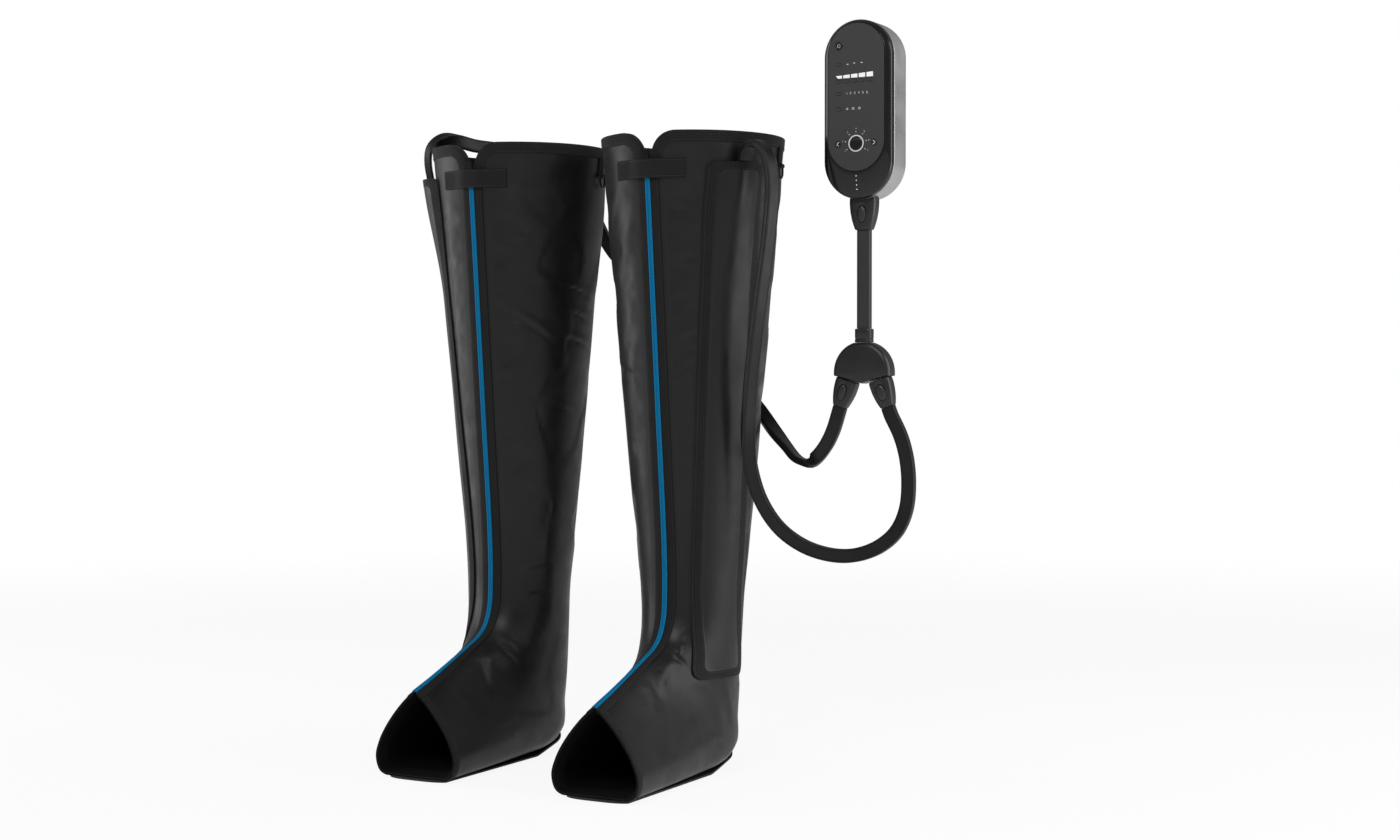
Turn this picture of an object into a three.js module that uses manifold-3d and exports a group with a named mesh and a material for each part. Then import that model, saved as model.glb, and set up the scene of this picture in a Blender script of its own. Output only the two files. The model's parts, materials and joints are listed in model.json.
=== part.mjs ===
import * as THREE from "three";
import { mergeVertices } from "three/addons/utils/BufferGeometryUtils.js";
import Module from "manifold-3d";

// A pair of full-leg air compression boots with a hand-held battery pump.
// A flat trunk hose leaves the pump, a Y splitter divides it, and a flat branch hose runs to a long
// sleeve on the outer side of each boot. All sizes are in millimetres. +Z is up, the toes point to -Y,
// and the pump stands beside the right boot at +X, its buttons facing -Y.

const wasm = await Module();
wasm.setup();

// Sizes that many pieces share
const clearance = 0.3;
const cutOverrun = 2;

// Boot: overall form
const bootHeight = 820;
const bootSpacing = 270;
const rimRadius = 118.7;
const ankleHeight = 300;
const ankleRadius = 72.6;
const footLength = 305;
const heelReach = 65;
const footHalfWidth = 62;

// Boot: sole
const soleThickness = 3;
const soleToeHalfWidth = 45;
const soleToeReach = 241;
const soleHeelRadius = 38;
const soleHeelCentre = 28;
const heelLipHeight = 22;
const heelLipStart = 23;

// Boot: wall, binding and notch
const shellThickness = 2;
const chamberThickness = 6.5;
const weldThickness = 2;
const bindingWidth = 15;
const notchRadius = 33;
const slitHalfShare = 0.008;
const notchColumns = 4;
const wallColumns = 8;
const wallThickness = shellThickness + clearance + chamberThickness;

// Boot: zip and closure strap
const zipDrop = 30;
const zipTop = bootHeight - zipDrop;
const tapeWidth = 30;
const tapeThickness = 1.1;
const coilWidth = 7;
const coilHeight = 1.1;
const strapDrop = 35;
const strapTop = bootHeight - strapDrop;
const strapWidth = 24;
const strapLength = 100;
const strapThickness = 1.5;
const strapCrownReach = 7;
const strapFlatReach = 30;
const sliderWidth = 9;
const sliderHeight = 13;
const sliderThickness = 1.6;
const sliderDrop = 24;
const sliderTop = bootHeight - sliderDrop;
const sliderTabWidth = 5;
const sliderTabLength = 12;

// Boot: hose sleeve
const fabricGap = 0.8;
const sleeveDrop = 40;
const sleeveTop = bootHeight - sleeveDrop;
const sleeveBottom = 128;
const sleeveWidth = 81;
const sleeveThickness = 1.5;
const sleeveMouthRise = 15.5;
const sleeveFlatRise = 1.6;
const sleeveFlareLength = 170;

// Boot: D-ring and its webbing tab
const ringShare = 0.278;
const ringBarDrop = 37;
const ringBarHeight = bootHeight - ringBarDrop;
const ringWire = 1.2;
const ringHalfWidth = 7.6;
const ringDrop = 16;
const tabWidth = 11;
const tabThickness = 2;
const tabLength = 24;
const tabEyeRadius = 3.4;

// Flat hose
const hoseWidth = 17.5;
const hoseThickness = 9;
const hoseCornerWidth = 1.8;
const hoseCornerThickness = 1.6;
const rightSteps = 34;
const leftSteps = 44;
const trunkSteps = 2;

// Pump: housing
const pumpX = 380.5;
const pumpFront = -25;
const pumpWidth = 92;
const pumpTop = 953;
const pumpBottom = 732;
const pumpDepth = 54;
const pumpWall = 2.2;
const bevelDepth = 9.7;
const seamDepth = 13;
const backInset = 5;
const backRounding = 14;
const arcSteps = 12;

// Pump: control panel
const panelWidth = 76;
const panelTopMargin = 5;
const panelBottomMargin = 34;
const panelThickness = 2;
const ledgeWidth = 2;
const ledgeDepth = 5.2;
const boardThickness = 1.6;

// Pump: buttons, counted from the panel's middle line and its top edge
const buttonProud = 0.4;
const buttonFlange = 0.7;
const flangeThickness = 0.8;
const dishDepth = 0.5;
const ovalHalfWidth = 4.3;
const ovalHalfHeight = 2.15;
const powerRadius = 5.2;
const arrowRadius = 4;
const startRadius = 8.6;
const startRingWidth = 1.5;
const leftColumn = -23.5;
const chamberPitch = 10.5;
const powerDrop = 27;
const pressureDrop = 50;
const chamberDrop = 71;
const modeDrop = 86;
const timeDrop = 105;
const startDrop = 148;
const arrowOffset = 24.5;
const chamberCount = 5;

// Pump: chamber windows, a row that together forms a leg
const windowWidth = 8.6;
const windowDrop = 67;
const windowAnkleHeight = 3.2;
const windowThighHeight = 5.6;
const windowToeReach = 3.4;
const guideThickness = 1;
const guideMargin = 0.8;

// Pump: inner pieces
const batteryWidth = 37;
const batteryDepth = 19;
const batteryLength = 65;
const batteryHeadroom = 30;
const batteryBottom = pumpTop - batteryHeadroom - batteryLength;
const compressorWidth = 44;
const compressorDepth = 24;
const compressorBottom = 780;
const compressorHeight = 36;
const compressorBevel = 2;
const motorRadius = 12;
const motorLength = 32;
const manifoldWidth = 46;
const manifoldDepth = 18;
const manifoldHeight = 14;
const manifoldBevel = 1;
const manifoldBottom = 757;
const nippleRadius = 2;
const nippleLength = 5;
const nipplePitch = 8.5;
const chargeHeight = 800;
const chargeDepth = 30;
const chargeRadius = 4.6;
const chargeBore = 3.3;
const chargeLength = 11;
const chargeFlange = 1.2;

// Plugs and their socket
const spigotWidth = 19;
const spigotDepth = 9;
const spigotLength = 17;
const socketWall = 1.8;
const socketLength = 21;
const pumpPlugLength = 37;
const pumpPlugHalfWidth = 17.5;
const pumpPlugHalfDepth = 10;
const branchPlugLength = 35;
const branchPlugHalfWidth = 14;
const releaseHalfWidth = 5.6;
const releaseHalfHeight = 10.5;
const releaseProud = 1.2;
const releaseDepth = 2.8;
const releasePocket = 4.5;

// Splitter and its collar
const splitterHalfWidth = 38.5;
const splitterHalfDepth = 12;
const splitterBottom = 504;
const splitterShoulder = 10;
const splitterSide = 4;
const splitterRounding = 5;
const collarWidth = 22;
const collarDepth = 14;
const collarHeight = 17;
const collarBevel = 1;
const branchAngle = THREE.MathUtils.degToRad(18);
const branchSeatX = 22;

// Finishes
function finish(color, roughness, metalness = 0) {
  return new THREE.MeshStandardMaterial({ color, roughness, metalness });
}

const outerFabric = finish(0x2c2c2d, 0.62);
const bindingFabric = finish(0x232324, 0.85);
const liningFabric = finish(0x141414, 0.8);
const soleRubber = finish(0x101010, 0.7);
const zipBlue = finish(0x1f7ba8, 0.45);
const blackMetal = finish(0x1c1c1c, 0.35, 0.9);
const hoseRubber = finish(0x3a3a3a, 0.5);
const plugPlastic = finish(0x2a2a2a, 0.45);
const glossBlack = finish(0x1d1d1e, 0.15);
const greyShell = finish(0x8c8c8c, 0.35, 0.3);
const mattePanel = finish(0x404040, 0.6);
const buttonPlastic = finish(0x2b2b2b, 0.4);
const whiteLight = finish(0xf2f2f2, 0.4);
const boardGreen = finish(0x1d4a2c, 0.6);
const batteryWrap = finish(0x2456a0, 0.5);
const castMetal = finish(0x9a9da0, 0.45, 0.8);
const motorSteel = finish(0xb0b2b4, 0.3, 1);
const manifoldPlastic = finish(0xd8d8d2, 0.5);

const set = new THREE.Group();

function addMesh(parent, name, geometry, material) {
  const mesh = new THREE.Mesh(geometry, material);
  mesh.name = name;
  parent.add(mesh);
  return mesh;
}

// Solids from rings of points
function signedVolume(points, index) {
  let volume = 0;
  for (let i = 0; i < index.length; i += 3) {
    const a = points[index[i]];
    const b = points[index[i + 1]];
    const c = points[index[i + 2]];
    volume += a.dot(b.clone().cross(c));
  }
  return volume;
}

// Triangles across a flat or nearly flat loop, found in the plane that suits it best
function capTriangles(loop) {
  const normal = new THREE.Vector3();
  loop.forEach((point, i) => normal.add(point.clone().cross(loop[(i + 1) % loop.length])));
  normal.normalize();
  const upright = Math.abs(normal.z) > Math.SQRT1_2;
  const helper = upright ? new THREE.Vector3(1, 0, 0) : new THREE.Vector3(0, 0, 1);
  const across = helper.clone().cross(normal).normalize();
  const along = normal.clone().cross(across);
  const flat = loop.map((point) => new THREE.Vector2(point.dot(across), point.dot(along)));
  return THREE.ShapeUtils.triangulateShape(flat, []);
}

// Skin through a list of rings with equal counts. Open lists get a cap at each end, and a closed list
// joins its last ring to its first, which leaves a hole through the body.
function loft(rings, closed = false) {
  const count = rings[0].length;
  const points = rings.flat();
  const index = [];
  const spans = closed ? rings.length : rings.length - 1;
  for (let i = 0; i < spans; i += 1) {
    const here = i * count;
    const next = ((i + 1) % rings.length) * count;
    for (let j = 0; j < count; j += 1) {
      const k = (j + 1) % count;
      index.push(here + j, here + k, next + k);
      index.push(here + j, next + k, next + j);
    }
  }
  if (!closed) {
    const last = (rings.length - 1) * count;
    for (const [a, b, c] of capTriangles(rings[0])) index.push(a, c, b);
    for (const [a, b, c] of capTriangles(rings[rings.length - 1])) index.push(last + a, last + b, last + c);
  }
  if (signedVolume(points, index) < 0) index.reverse();
  const geometry = new THREE.BufferGeometry();
  const flat = points.flatMap((point) => [point.x, point.y, point.z]);
  geometry.setAttribute("position", new THREE.Float32BufferAttribute(flat, 3));
  geometry.setIndex(index);
  return geometry;
}

// Joins and cuts
function toSolid(geometry) {
  const bare = geometry.clone();
  for (const name of ["normal", "uv"]) bare.deleteAttribute(name);
  const merged = mergeVertices(bare);
  const vertProperties = new Float32Array(merged.attributes.position.array);
  const triVerts = new Uint32Array(merged.index.array);
  return new wasm.Manifold(new wasm.Mesh({ numProp: 3, vertProperties, triVerts }));
}

function fromSolid(solid) {
  const mesh = solid.getMesh();
  const geometry = new THREE.BufferGeometry();
  geometry.setAttribute("position", new THREE.Float32BufferAttribute(mesh.vertProperties, 3));
  geometry.setIndex(Array.from(mesh.triVerts));
  return geometry;
}

function join(...geometries) {
  return fromSolid(geometries.map(toSolid).reduce((whole, piece) => whole.add(piece)));
}

function cut(geometry, ...tools) {
  return fromSolid(tools.map(toSolid).reduce((whole, tool) => whole.subtract(tool), toSolid(geometry)));
}

// Boot surface. A section is a plane loop across the leg or foot. Its shape turns from a circle at
// the rim to a rounded triangle with a flat base at the toe. A row counts sections from the rim, and a
// share counts round the section from the zip line, to the outer side first.
const legShares = [0, 1 / 3, 2 / 3, 1];
const soleSeat = soleThickness + clearance;
const ankleRise = ankleHeight - soleSeat;

// Each row: along the foot and up for the zip line, the same for the back line, half width, squareness
const footShares = [
  [0.446, 0.8, 0, 0.77, 1.082, 0],
  [0.456, 0.68, 0, 0.58, 1.041, 0],
  [0.492, 0.6, 0, 0.4, 1.008, 0.04],
  [0.544, 0.555, 0.004, 0.23, 0.975, 0.1],
  [0.607, 0.525, 0.027, 0.09, 0.951, 0.25],
  [0.679, 0.494, 0.09, 0.02, 0.934, 0.45],
  [0.757, 0.461, 0.23, 0, 0.934, 0.62],
  [0.882, 0.41, 0.574, 0, 0.967, 0.85],
  [1, 0.366, 1, 0, 1, 1],
];

// Half outline of the toe opening, as shares of its half width and its height
const toeShares = [
  [0, 1], [0.17, 0.94], [0.41, 0.81], [0.72, 0.59], [0.91, 0.4], [1, 0.22], [0.93, 0.07], [0.72, 0],
];

function sectionStations() {
  const stations = legShares.map((share) => {
    const height = THREE.MathUtils.lerp(bootHeight, ankleHeight, share);
    const radius = THREE.MathUtils.lerp(rimRadius, ankleRadius, share);
    return { front: [-radius, height], back: [radius, height], half: radius, square: 0 };
  });
  for (const [frontAlong, frontUp, backAlong, backUp, halfWidth, square] of footShares) {
    stations.push({
      front: [heelReach - frontAlong * footLength, soleSeat + frontUp * ankleRise],
      back: [heelReach - backAlong * footLength, soleSeat + backUp * ankleRise],
      half: halfWidth * footHalfWidth,
      square,
    });
  }
  return stations;
}

function smoothLine(points) {
  return new THREE.CatmullRomCurve3(points, false, "centripetal");
}

const stations = sectionStations();
const lastRow = stations.length - 1;
const frontLine = smoothLine(stations.map(({ front: [y, z] }) => new THREE.Vector3(0, y, z)));
const backLine = smoothLine(stations.map(({ back: [y, z] }) => new THREE.Vector3(0, y, z)));
const formLine = smoothLine(stations.map(({ half, square }) => new THREE.Vector3(half, square * half, 0)));
const toeRight = toeShares.map(([x, up]) => new THREE.Vector3(x, up, 0));
const toeLeft = toeShares.slice(1).reverse().map(([x, up]) => new THREE.Vector3(-x, up, 0));
const toeOutline = new THREE.CatmullRomCurve3([...toeRight, ...toeLeft], true, "centripetal");
const shareStep = 0.004;

function sectionPoint(share, half, square, length) {
  const turn = THREE.MathUtils.euclideanModulo(share, 1);
  const toe = toeOutline.getPointAt(turn);
  const angle = turn * Math.PI * 2;
  const x = THREE.MathUtils.lerp(Math.sin(angle), toe.x, square) * half;
  const up = THREE.MathUtils.lerp((1 + Math.cos(angle)) / 2, Math.max(toe.y, 0), square) * length;
  return new THREE.Vector2(x, up);
}

// A point on the boot at a row and share, standing off the surface, outwards where stand is above zero
function bootPoint(row, share, stand) {
  const t = THREE.MathUtils.clamp(row / lastRow, 0, 1);
  const front = frontLine.getPoint(t);
  const back = backLine.getPoint(t);
  const form = formLine.getPoint(t);
  const rise = front.sub(back);
  const length = rise.length();
  const square = form.y / form.x;
  const place = sectionPoint(share, form.x, square, length);
  const ahead = sectionPoint(share + shareStep, form.x, square, length);
  const behind = sectionPoint(share - shareStep, form.x, square, length);
  const tangent = ahead.sub(behind).normalize();
  const x = place.x - tangent.y * stand;
  const up = place.y + tangent.x * stand;
  return new THREE.Vector3(x, 0, 0).add(back).addScaledVector(rise, up / length);
}

const girthSamples = 32;

function girth(row) {
  let length = 0;
  for (let i = 0; i < girthSamples; i += 1) {
    const here = bootPoint(row, i / girthSamples, 0);
    length += here.distanceTo(bootPoint(row, (i + 1) / girthSamples, 0));
  }
  return length;
}

const bisections = 24;

// The row where a test first fails, between two rows
function findRow(isAbove, low = 0, high = lastRow) {
  let [above, below] = [low, high];
  for (let i = 0; i < bisections; i += 1) {
    const middle = (above + below) / 2;
    if (isAbove(middle)) above = middle;
    else below = middle;
  }
  return (above + below) / 2;
}

function rowAtHeight(share, height) {
  return findRow((row) => bootPoint(row, share, 0).z > height);
}

function rowBeforeToe(share, length) {
  const end = bootPoint(lastRow, share, 0);
  return findRow((row) => bootPoint(row, share, 0).distanceTo(end) > length, lastRow - 1);
}

// A sheet of fabric on the boot: each column gives its ring as rows, shares and stands
function sheet(side, columns, outline, closed = false) {
  const rings = columns.map((column) =>
    outline(column).map(([row, share, stand]) => {
      const point = bootPoint(row, share, stand);
      return point.setX(point.x * side + side * bootSpacing / 2);
    }));
  return loft(rings, closed);
}

// Columns round the wall, from one edge of the slit to the other, closer together at the notch
function wallShares() {
  const notchShare = notchRadius / (2 * Math.PI * rimRadius);
  const half = [];
  for (let i = 0; i < notchColumns; i += 1) {
    const turn = (Math.PI / 2) * (i / notchColumns);
    half.push(slitHalfShare + notchShare * (1 - Math.cos(turn)));
  }
  const start = slitHalfShare + notchShare;
  for (let i = 0; i <= wallColumns; i += 1) half.push(THREE.MathUtils.lerp(start, 1 / 2, i / wallColumns));
  const other = half.slice(0, -1).reverse().map((share) => 1 - share);
  return [...half, ...other];
}

function rimHeight(share) {
  const fromSlit = Math.min(share, 1 - share) - slitHalfShare;
  const across = Math.max(notchRadius - fromSlit * 2 * Math.PI * rimRadius, 0);
  return bootHeight - notchRadius + Math.sqrt(Math.max(notchRadius ** 2 - across ** 2, 0));
}

const wallRows = Array.from({ length: lastRow - 1 }, (_, i) => i + 1);

// The binding is the full thickness of the wall and closes it at the rim and at the toe
function shellOutline(share) {
  const top = rowAtHeight(share, rimHeight(share));
  const bound = rowAtHeight(share, rimHeight(share) - bindingWidth);
  const toe = rowBeforeToe(share, bindingWidth);
  const outside = [top, bound, ...wallRows, toe, lastRow].map((row) => [row, share, 0]);
  const inside = [toe, ...[...wallRows].reverse(), bound].map((row) => [row, share, -shellThickness]);
  const toeBinding = [lastRow, toe].map((row) => [row, share, -wallThickness]);
  const rimBinding = [bound, top].map((row) => [row, share, -wallThickness]);
  return [...outside, ...toeBinding, ...inside, ...rimBinding];
}

// The welds between the five chambers lie at these rows, and each chamber is thickest between two
const weldRows = [0, 1, 2, 3, 7, lastRow];
const bladderRows = [0.5, 1, 1.5, 2, 2.5, ...wallRows.slice(2)];

function chamberStand(row) {
  const welded = weldRows.includes(row);
  return -(shellThickness + clearance + (welded ? weldThickness : chamberThickness));
}

function bladderOutline(share) {
  const top = rowAtHeight(share, rimHeight(share) - bindingWidth - clearance);
  const toe = rowBeforeToe(share, bindingWidth + clearance);
  const outside = [top, ...bladderRows, toe].map((row) => [row, share, -(shellThickness + clearance)]);
  const inside = [[top, 0], ...bladderRows.map((row) => [row, row]), [toe, lastRow]].map(
    ([row, place]) => [row, share, chamberStand(place)]);
  return [...inside, ...outside.reverse()];
}

const zipColumnShares = [-1, -0.5, 0, 0.5, 1];

// A strip along the zip line, its columns given as distances from that line
function zipStrip(side, halfWidth, low, high) {
  const top = rowAtHeight(0, zipTop);
  const rows = [top, ...wallRows, lastRow];
  return sheet(side, zipColumnShares.map((share) => share * halfWidth), (arc) => {
    const outside = rows.map((row) => [row, arc / girth(row), high]);
    const inside = rows.map((row) => [row, arc / girth(row), low]);
    return [...outside, ...inside.reverse()];
  });
}

const tapeLow = 2 * clearance;
const tapeHigh = tapeLow + tapeThickness;
const coilLow = tapeHigh + clearance;
const coilHigh = coilLow + coilHeight;
const sliderLow = coilHigh + clearance;
const sliderHigh = sliderLow + sliderThickness;
const strapColumnShares = [-1, -0.72, -0.52, -0.34, -0.16, 0, 0.16, 0.34, 0.52, 0.72, 1];

// The strap lies on the wall and humps over the tape, the coil and the slider
function strapOutline(arc) {
  const rows = [strapTop, strapTop - strapWidth].map((height) => rowAtHeight(0, height));
  const lay = THREE.MathUtils.smoothstep(Math.abs(arc), strapCrownReach, strapFlatReach);
  const low = THREE.MathUtils.lerp(sliderHigh + clearance, fabricGap, lay);
  const outside = rows.map((row) => [row, arc / girth(row), low + strapThickness]);
  const inside = rows.map((row) => [row, arc / girth(row), low]);
  return [...outside, ...inside.reverse()];
}

// The sleeve: sewn down at its sides and foot, standing open at its mouth
const sleeveDepthShares = [0, 0.024, 0.056, 0.095, 0.143, 0.2, 0.27, 0.5, 0.765, 0.84, 0.9, 0.95, 1];
const sleeveColumnShares = [0, 0.15, 0.33, 0.5, 0.67, 0.85, 1];

// Where its front edge lies round the boot, at each depth
const sleeveEdgeShares = [
  0.107, 0.106, 0.104, 0.1015, 0.1, 0.099, 0.0965, 0.0885, 0.078, 0.0805, 0.093, 0.118, 0.145,
];

function sleeveRise(depth, share) {
  const flat = THREE.MathUtils.smoothstep(depth, 0, sleeveFlareLength);
  return THREE.MathUtils.lerp(sleeveMouthRise, sleeveFlatRise, flat) * Math.sin(Math.PI * share);
}

function sleeveOutline(share) {
  const places = sleeveDepthShares.map((depthShare, i) => {
    const depth = depthShare * (sleeveTop - sleeveBottom);
    const shareAt = (row) => sleeveEdgeShares[i] + (share * sleeveWidth) / girth(row);
    const row = findRow((test) => bootPoint(test, shareAt(test), 0).z > sleeveTop - depth);
    return [row, shareAt(row), fabricGap + sleeveRise(depth, share)];
  });
  const outside = places.map(([row, at, stand]) => [row, at, stand + sleeveThickness]);
  return [...outside, ...places.reverse()];
}

// The sole: a plate with a round heel whose edge turns up into a lip
const soleRowShares = [0, 0.4, 0.7];
const heelTurnShares = [0.2, 0.4, 0.58, 0.74, 0.87, 0.97];

function soleGeometry(side) {
  const heelTip = soleHeelCentre + soleHeelRadius;
  const lipShare = (heelLipStart + soleToeReach) / (soleHeelCentre + soleToeReach);
  const places = [...soleRowShares, lipShare, 1].map((share) => [
    THREE.MathUtils.lerp(-soleToeReach, soleHeelCentre, share),
    THREE.MathUtils.lerp(soleToeHalfWidth, soleHeelRadius, share),
  ]);
  for (const share of heelTurnShares) {
    const angle = (share * Math.PI) / 2;
    places.push([
      soleHeelCentre + soleHeelRadius * Math.sin(angle),
      soleHeelRadius * Math.cos(angle),
    ]);
  }
  const rings = places.map(([y, half]) => {
    const lip = Math.max(y - heelLipStart, 0) / (heelTip - heelLipStart);
    const low = heelLipHeight * lip ** 2;
    const centre = side * bootSpacing / 2;
    return [
      new THREE.Vector3(centre - half, y, low),
      new THREE.Vector3(centre + half, y, low),
      new THREE.Vector3(centre + half, y, low + soleThickness),
      new THREE.Vector3(centre - half, y, low + soleThickness),
    ];
  });
  return loft(rings);
}

// A frame lying on the boot's surface: X round the boot, -Y outwards, Z up along the wall
function surfaceFrame(side, share, height) {
  const row = rowAtHeight(share, height);
  const place = (at, stand) => {
    const point = bootPoint(at, share, stand);
    return point.setX(point.x * side + side * bootSpacing / 2);
  };
  const origin = place(row, 0);
  const up = place(row / 2, 0).sub(origin).normalize();
  const out = place(row, 1).sub(origin).setZ(0).normalize();
  out.addScaledVector(up, -out.dot(up)).normalize();
  const frame = new THREE.Group();
  const basis = new THREE.Matrix4().makeBasis(up.clone().cross(out), out.clone().negate(), up);
  frame.quaternion.setFromRotationMatrix(basis);
  frame.position.copy(origin);
  return frame;
}

// Webbing tab: a flat strap whose lower end is folded round the ring's bar. Drawn with X outwards.
function tabGeometry() {
  const eye = fabricGap + tabEyeRadius;
  const meet = Math.acos((tabThickness - tabEyeRadius) / tabEyeRadius);
  const shape = new THREE.Shape();
  shape.moveTo(fabricGap, tabLength);
  shape.lineTo(fabricGap, 0);
  shape.absarc(eye, 0, tabEyeRadius, Math.PI, Math.PI * 2 + meet, false);
  shape.lineTo(fabricGap + tabThickness, tabLength);
  shape.closePath();
  const hole = new THREE.Path();
  hole.absarc(eye, 0, ringWire + clearance, 0, Math.PI * 2, false);
  shape.holes.push(hole);
  const options = { depth: tabWidth, bevelEnabled: false, curveSegments: 5 };
  const geometry = new THREE.ExtrudeGeometry(shape, options);
  geometry.translate(0, 0, -tabWidth / 2);
  geometry.rotateX(Math.PI / 2);
  return geometry.rotateZ(-Math.PI / 2);
}

// D-ring: a straight bar closed by a deep bow, hanging from the bar
const ringBowShares = [
  [-0.86, 0], [-0.72, 0], [0.72, 0], [0.86, 0], [1, -0.3],
  [0.78, -0.78], [0, -1], [-0.78, -0.78], [-1, -0.3],
];
const ringHang = -Math.atan((rimRadius - ankleRadius) / (bootHeight - ankleHeight));
const ringSteps = 20;
const ringSides = 6;

function ringGeometry() {
  const places = ringBowShares.map(([x, z]) => new THREE.Vector3(x * ringHalfWidth, 0, z * ringDrop));
  const path = new THREE.CatmullRomCurve3(places, true, "centripetal");
  const rings = [];
  for (let i = 0; i < ringSteps; i += 1) {
    const centre = path.getPointAt(i / ringSteps);
    const tangent = path.getTangentAt(i / ringSteps);
    const across = new THREE.Vector3(0, 1, 0);
    const inward = tangent.clone().cross(across);
    const ring = [];
    for (let j = 0; j < ringSides; j += 1) {
      const angle = (j / ringSides) * Math.PI * 2;
      const point = centre.clone().addScaledVector(across, ringWire * Math.cos(angle));
      ring.push(point.addScaledVector(inward, ringWire * Math.sin(angle)));
    }
    rings.push(ring);
  }
  return loft(rings, true);
}

function sliderGeometry(side) {
  const bodyRows = [sliderTop, sliderTop - sliderHeight].map((height) => rowAtHeight(0, height));
  const tabRows = [sliderTop - sliderHeight, sliderTop - sliderHeight - sliderTabLength];
  const body = sheet(side, [-sliderWidth / 2, 0, sliderWidth / 2], (arc) => {
    const outside = bodyRows.map((row) => [row, arc / girth(row), sliderHigh]);
    const inside = bodyRows.map((row) => [row, arc / girth(row), sliderLow]);
    return [...outside, ...inside.reverse()];
  });
  const tab = sheet(side, [-sliderTabWidth / 2, sliderTabWidth / 2], (arc) => {
    const rows = [rowAtHeight(0, tabRows[0] + clearance), rowAtHeight(0, tabRows[1])];
    const outside = rows.map((row) => [row, arc / girth(row), sliderHigh - clearance]);
    const inside = rows.map((row) => [row, arc / girth(row), sliderLow]);
    return [...outside, ...inside.reverse()];
  });
  return join(body, tab);
}

function addBoot(name, side) {
  const columns = wallShares();
  const strapColumns = strapColumnShares.map((share) => (share * strapLength) / 2);
  addMesh(set, `${name}_shell`, sheet(side, columns, shellOutline), outerFabric);
  const bladderColumns = columns.filter((share, i) => i % 2 === 0);
  addMesh(set, `${name}_bladder`, sheet(side, bladderColumns, bladderOutline), liningFabric);
  addMesh(set, `${name}_sole`, soleGeometry(side), soleRubber);
  addMesh(set, `${name}_zip_tape`, zipStrip(side, tapeWidth / 2, tapeLow, tapeHigh), bindingFabric);
  addMesh(set, `${name}_zip_coil`, zipStrip(side, coilWidth / 2, coilLow, coilHigh), zipBlue);
  addMesh(set, `${name}_zip_slider`, sliderGeometry(side), blackMetal);
  addMesh(set, `${name}_closure_strap`, sheet(side, strapColumns, strapOutline), bindingFabric);
  addMesh(set, `${name}_hose_sleeve`, sheet(side, sleeveColumnShares, sleeveOutline), outerFabric);
  const seat = surfaceFrame(side, side * ringShare, ringBarHeight);
  addMesh(seat, `${name}_ring_tab`, tabGeometry(), bindingFabric);
  const ring = addMesh(seat, `${name}_d_ring`, ringGeometry(), blackMetal);
  ring.position.y = -(fabricGap + tabEyeRadius);
  ring.rotation.x = ringHang;
  set.add(seat);
}

// Flat hose: a tube along a route, its width kept towards guide directions on the way
class FlatHosePath extends THREE.CatmullRomCurve3 {
  constructor(points, guides) {
    super(points, false, "centripetal");
    this.guides = guides;
  }

  guideAt(share) {
    const next = Math.max(this.guides.findIndex(([place]) => place >= share), 1);
    const [startPlace, start] = this.guides[next - 1];
    const [endPlace, end] = this.guides[next];
    const blend = THREE.MathUtils.smoothstep(share, startPlace, endPlace);
    return start.clone().lerp(end, blend);
  }

  computeFrenetFrames(segments) {
    const frames = { tangents: [], normals: [], binormals: [] };
    for (let i = 0; i <= segments; i += 1) {
      const tangent = this.getTangentAt(i / segments);
      const width = this.guideAt(i / segments);
      width.addScaledVector(tangent, -width.dot(tangent)).normalize();
      frames.tangents.push(tangent);
      frames.normals.push(width);
      frames.binormals.push(tangent.clone().cross(width));
    }
    return frames;
  }
}

function hoseSection() {
  const wide = hoseWidth / 2;
  const thick = hoseThickness / 2;
  const shape = new THREE.Shape();
  shape.moveTo(wide, -thick + hoseCornerThickness);
  shape.lineTo(wide, thick - hoseCornerThickness);
  shape.lineTo(wide - hoseCornerWidth, thick);
  shape.lineTo(-wide + hoseCornerWidth, thick);
  shape.lineTo(-wide, thick - hoseCornerThickness);
  shape.lineTo(-wide, -thick + hoseCornerThickness);
  shape.lineTo(-wide + hoseCornerWidth, -thick);
  shape.lineTo(wide - hoseCornerWidth, -thick);
  shape.closePath();
  return shape;
}

function hoseGeometry(points, guides, steps) {
  const path = new FlatHosePath(points, guides);
  return new THREE.ExtrudeGeometry(hoseSection(), { steps, extrudePath: path, bevelEnabled: false });
}

// Plug: a tapered grip with a thumb button, its mouth at the origin and its hose end below
const plugDropShares = [0, 0.14, 0.42, 0.7, 0.9, 1];
const plugWidthShares = [1, 1.03, 0.98, 0.85, 0.7, 0.62];
const plugDepthShares = [1, 1, 0.98, 0.9, 0.8, 0.72];
const plugSides = 20;
const plugSquareness = 0.45;

function squareRing(halfWidth, halfDepth, height) {
  return Array.from({ length: plugSides }, (_, i) => {
    const angle = ((i + 1 / 2) / plugSides) * Math.PI * 2;
    const round = (value) => Math.sign(value) * Math.abs(value) ** plugSquareness;
    const x = halfWidth * round(Math.cos(angle));
    return new THREE.Vector3(x, halfDepth * round(Math.sin(angle)), height);
  });
}

function plugGeometry(halfWidth, halfDepth, length, rise) {
  const rings = plugDropShares.map((drop, i) => {
    const height = i === 0 ? rise : -drop * length;
    return squareRing(halfWidth * plugWidthShares[i], halfDepth * plugDepthShares[i], height);
  });
  return loft(rings);
}

function ovalGeometry(halfWidth, halfHeight, profile, sides) {
  const geometry = new THREE.LatheGeometry(profile, sides);
  return geometry.scale(halfWidth, 1, halfHeight);
}

const releaseSides = 16;
const pumpSeatRadius = pumpWidth / 2 + clearance;
const pumpSeatRise = pumpSeatRadius - Math.sqrt(pumpSeatRadius ** 2 - pumpPlugHalfWidth ** 2);
const releaseCentreShare = 0.47;

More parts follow.
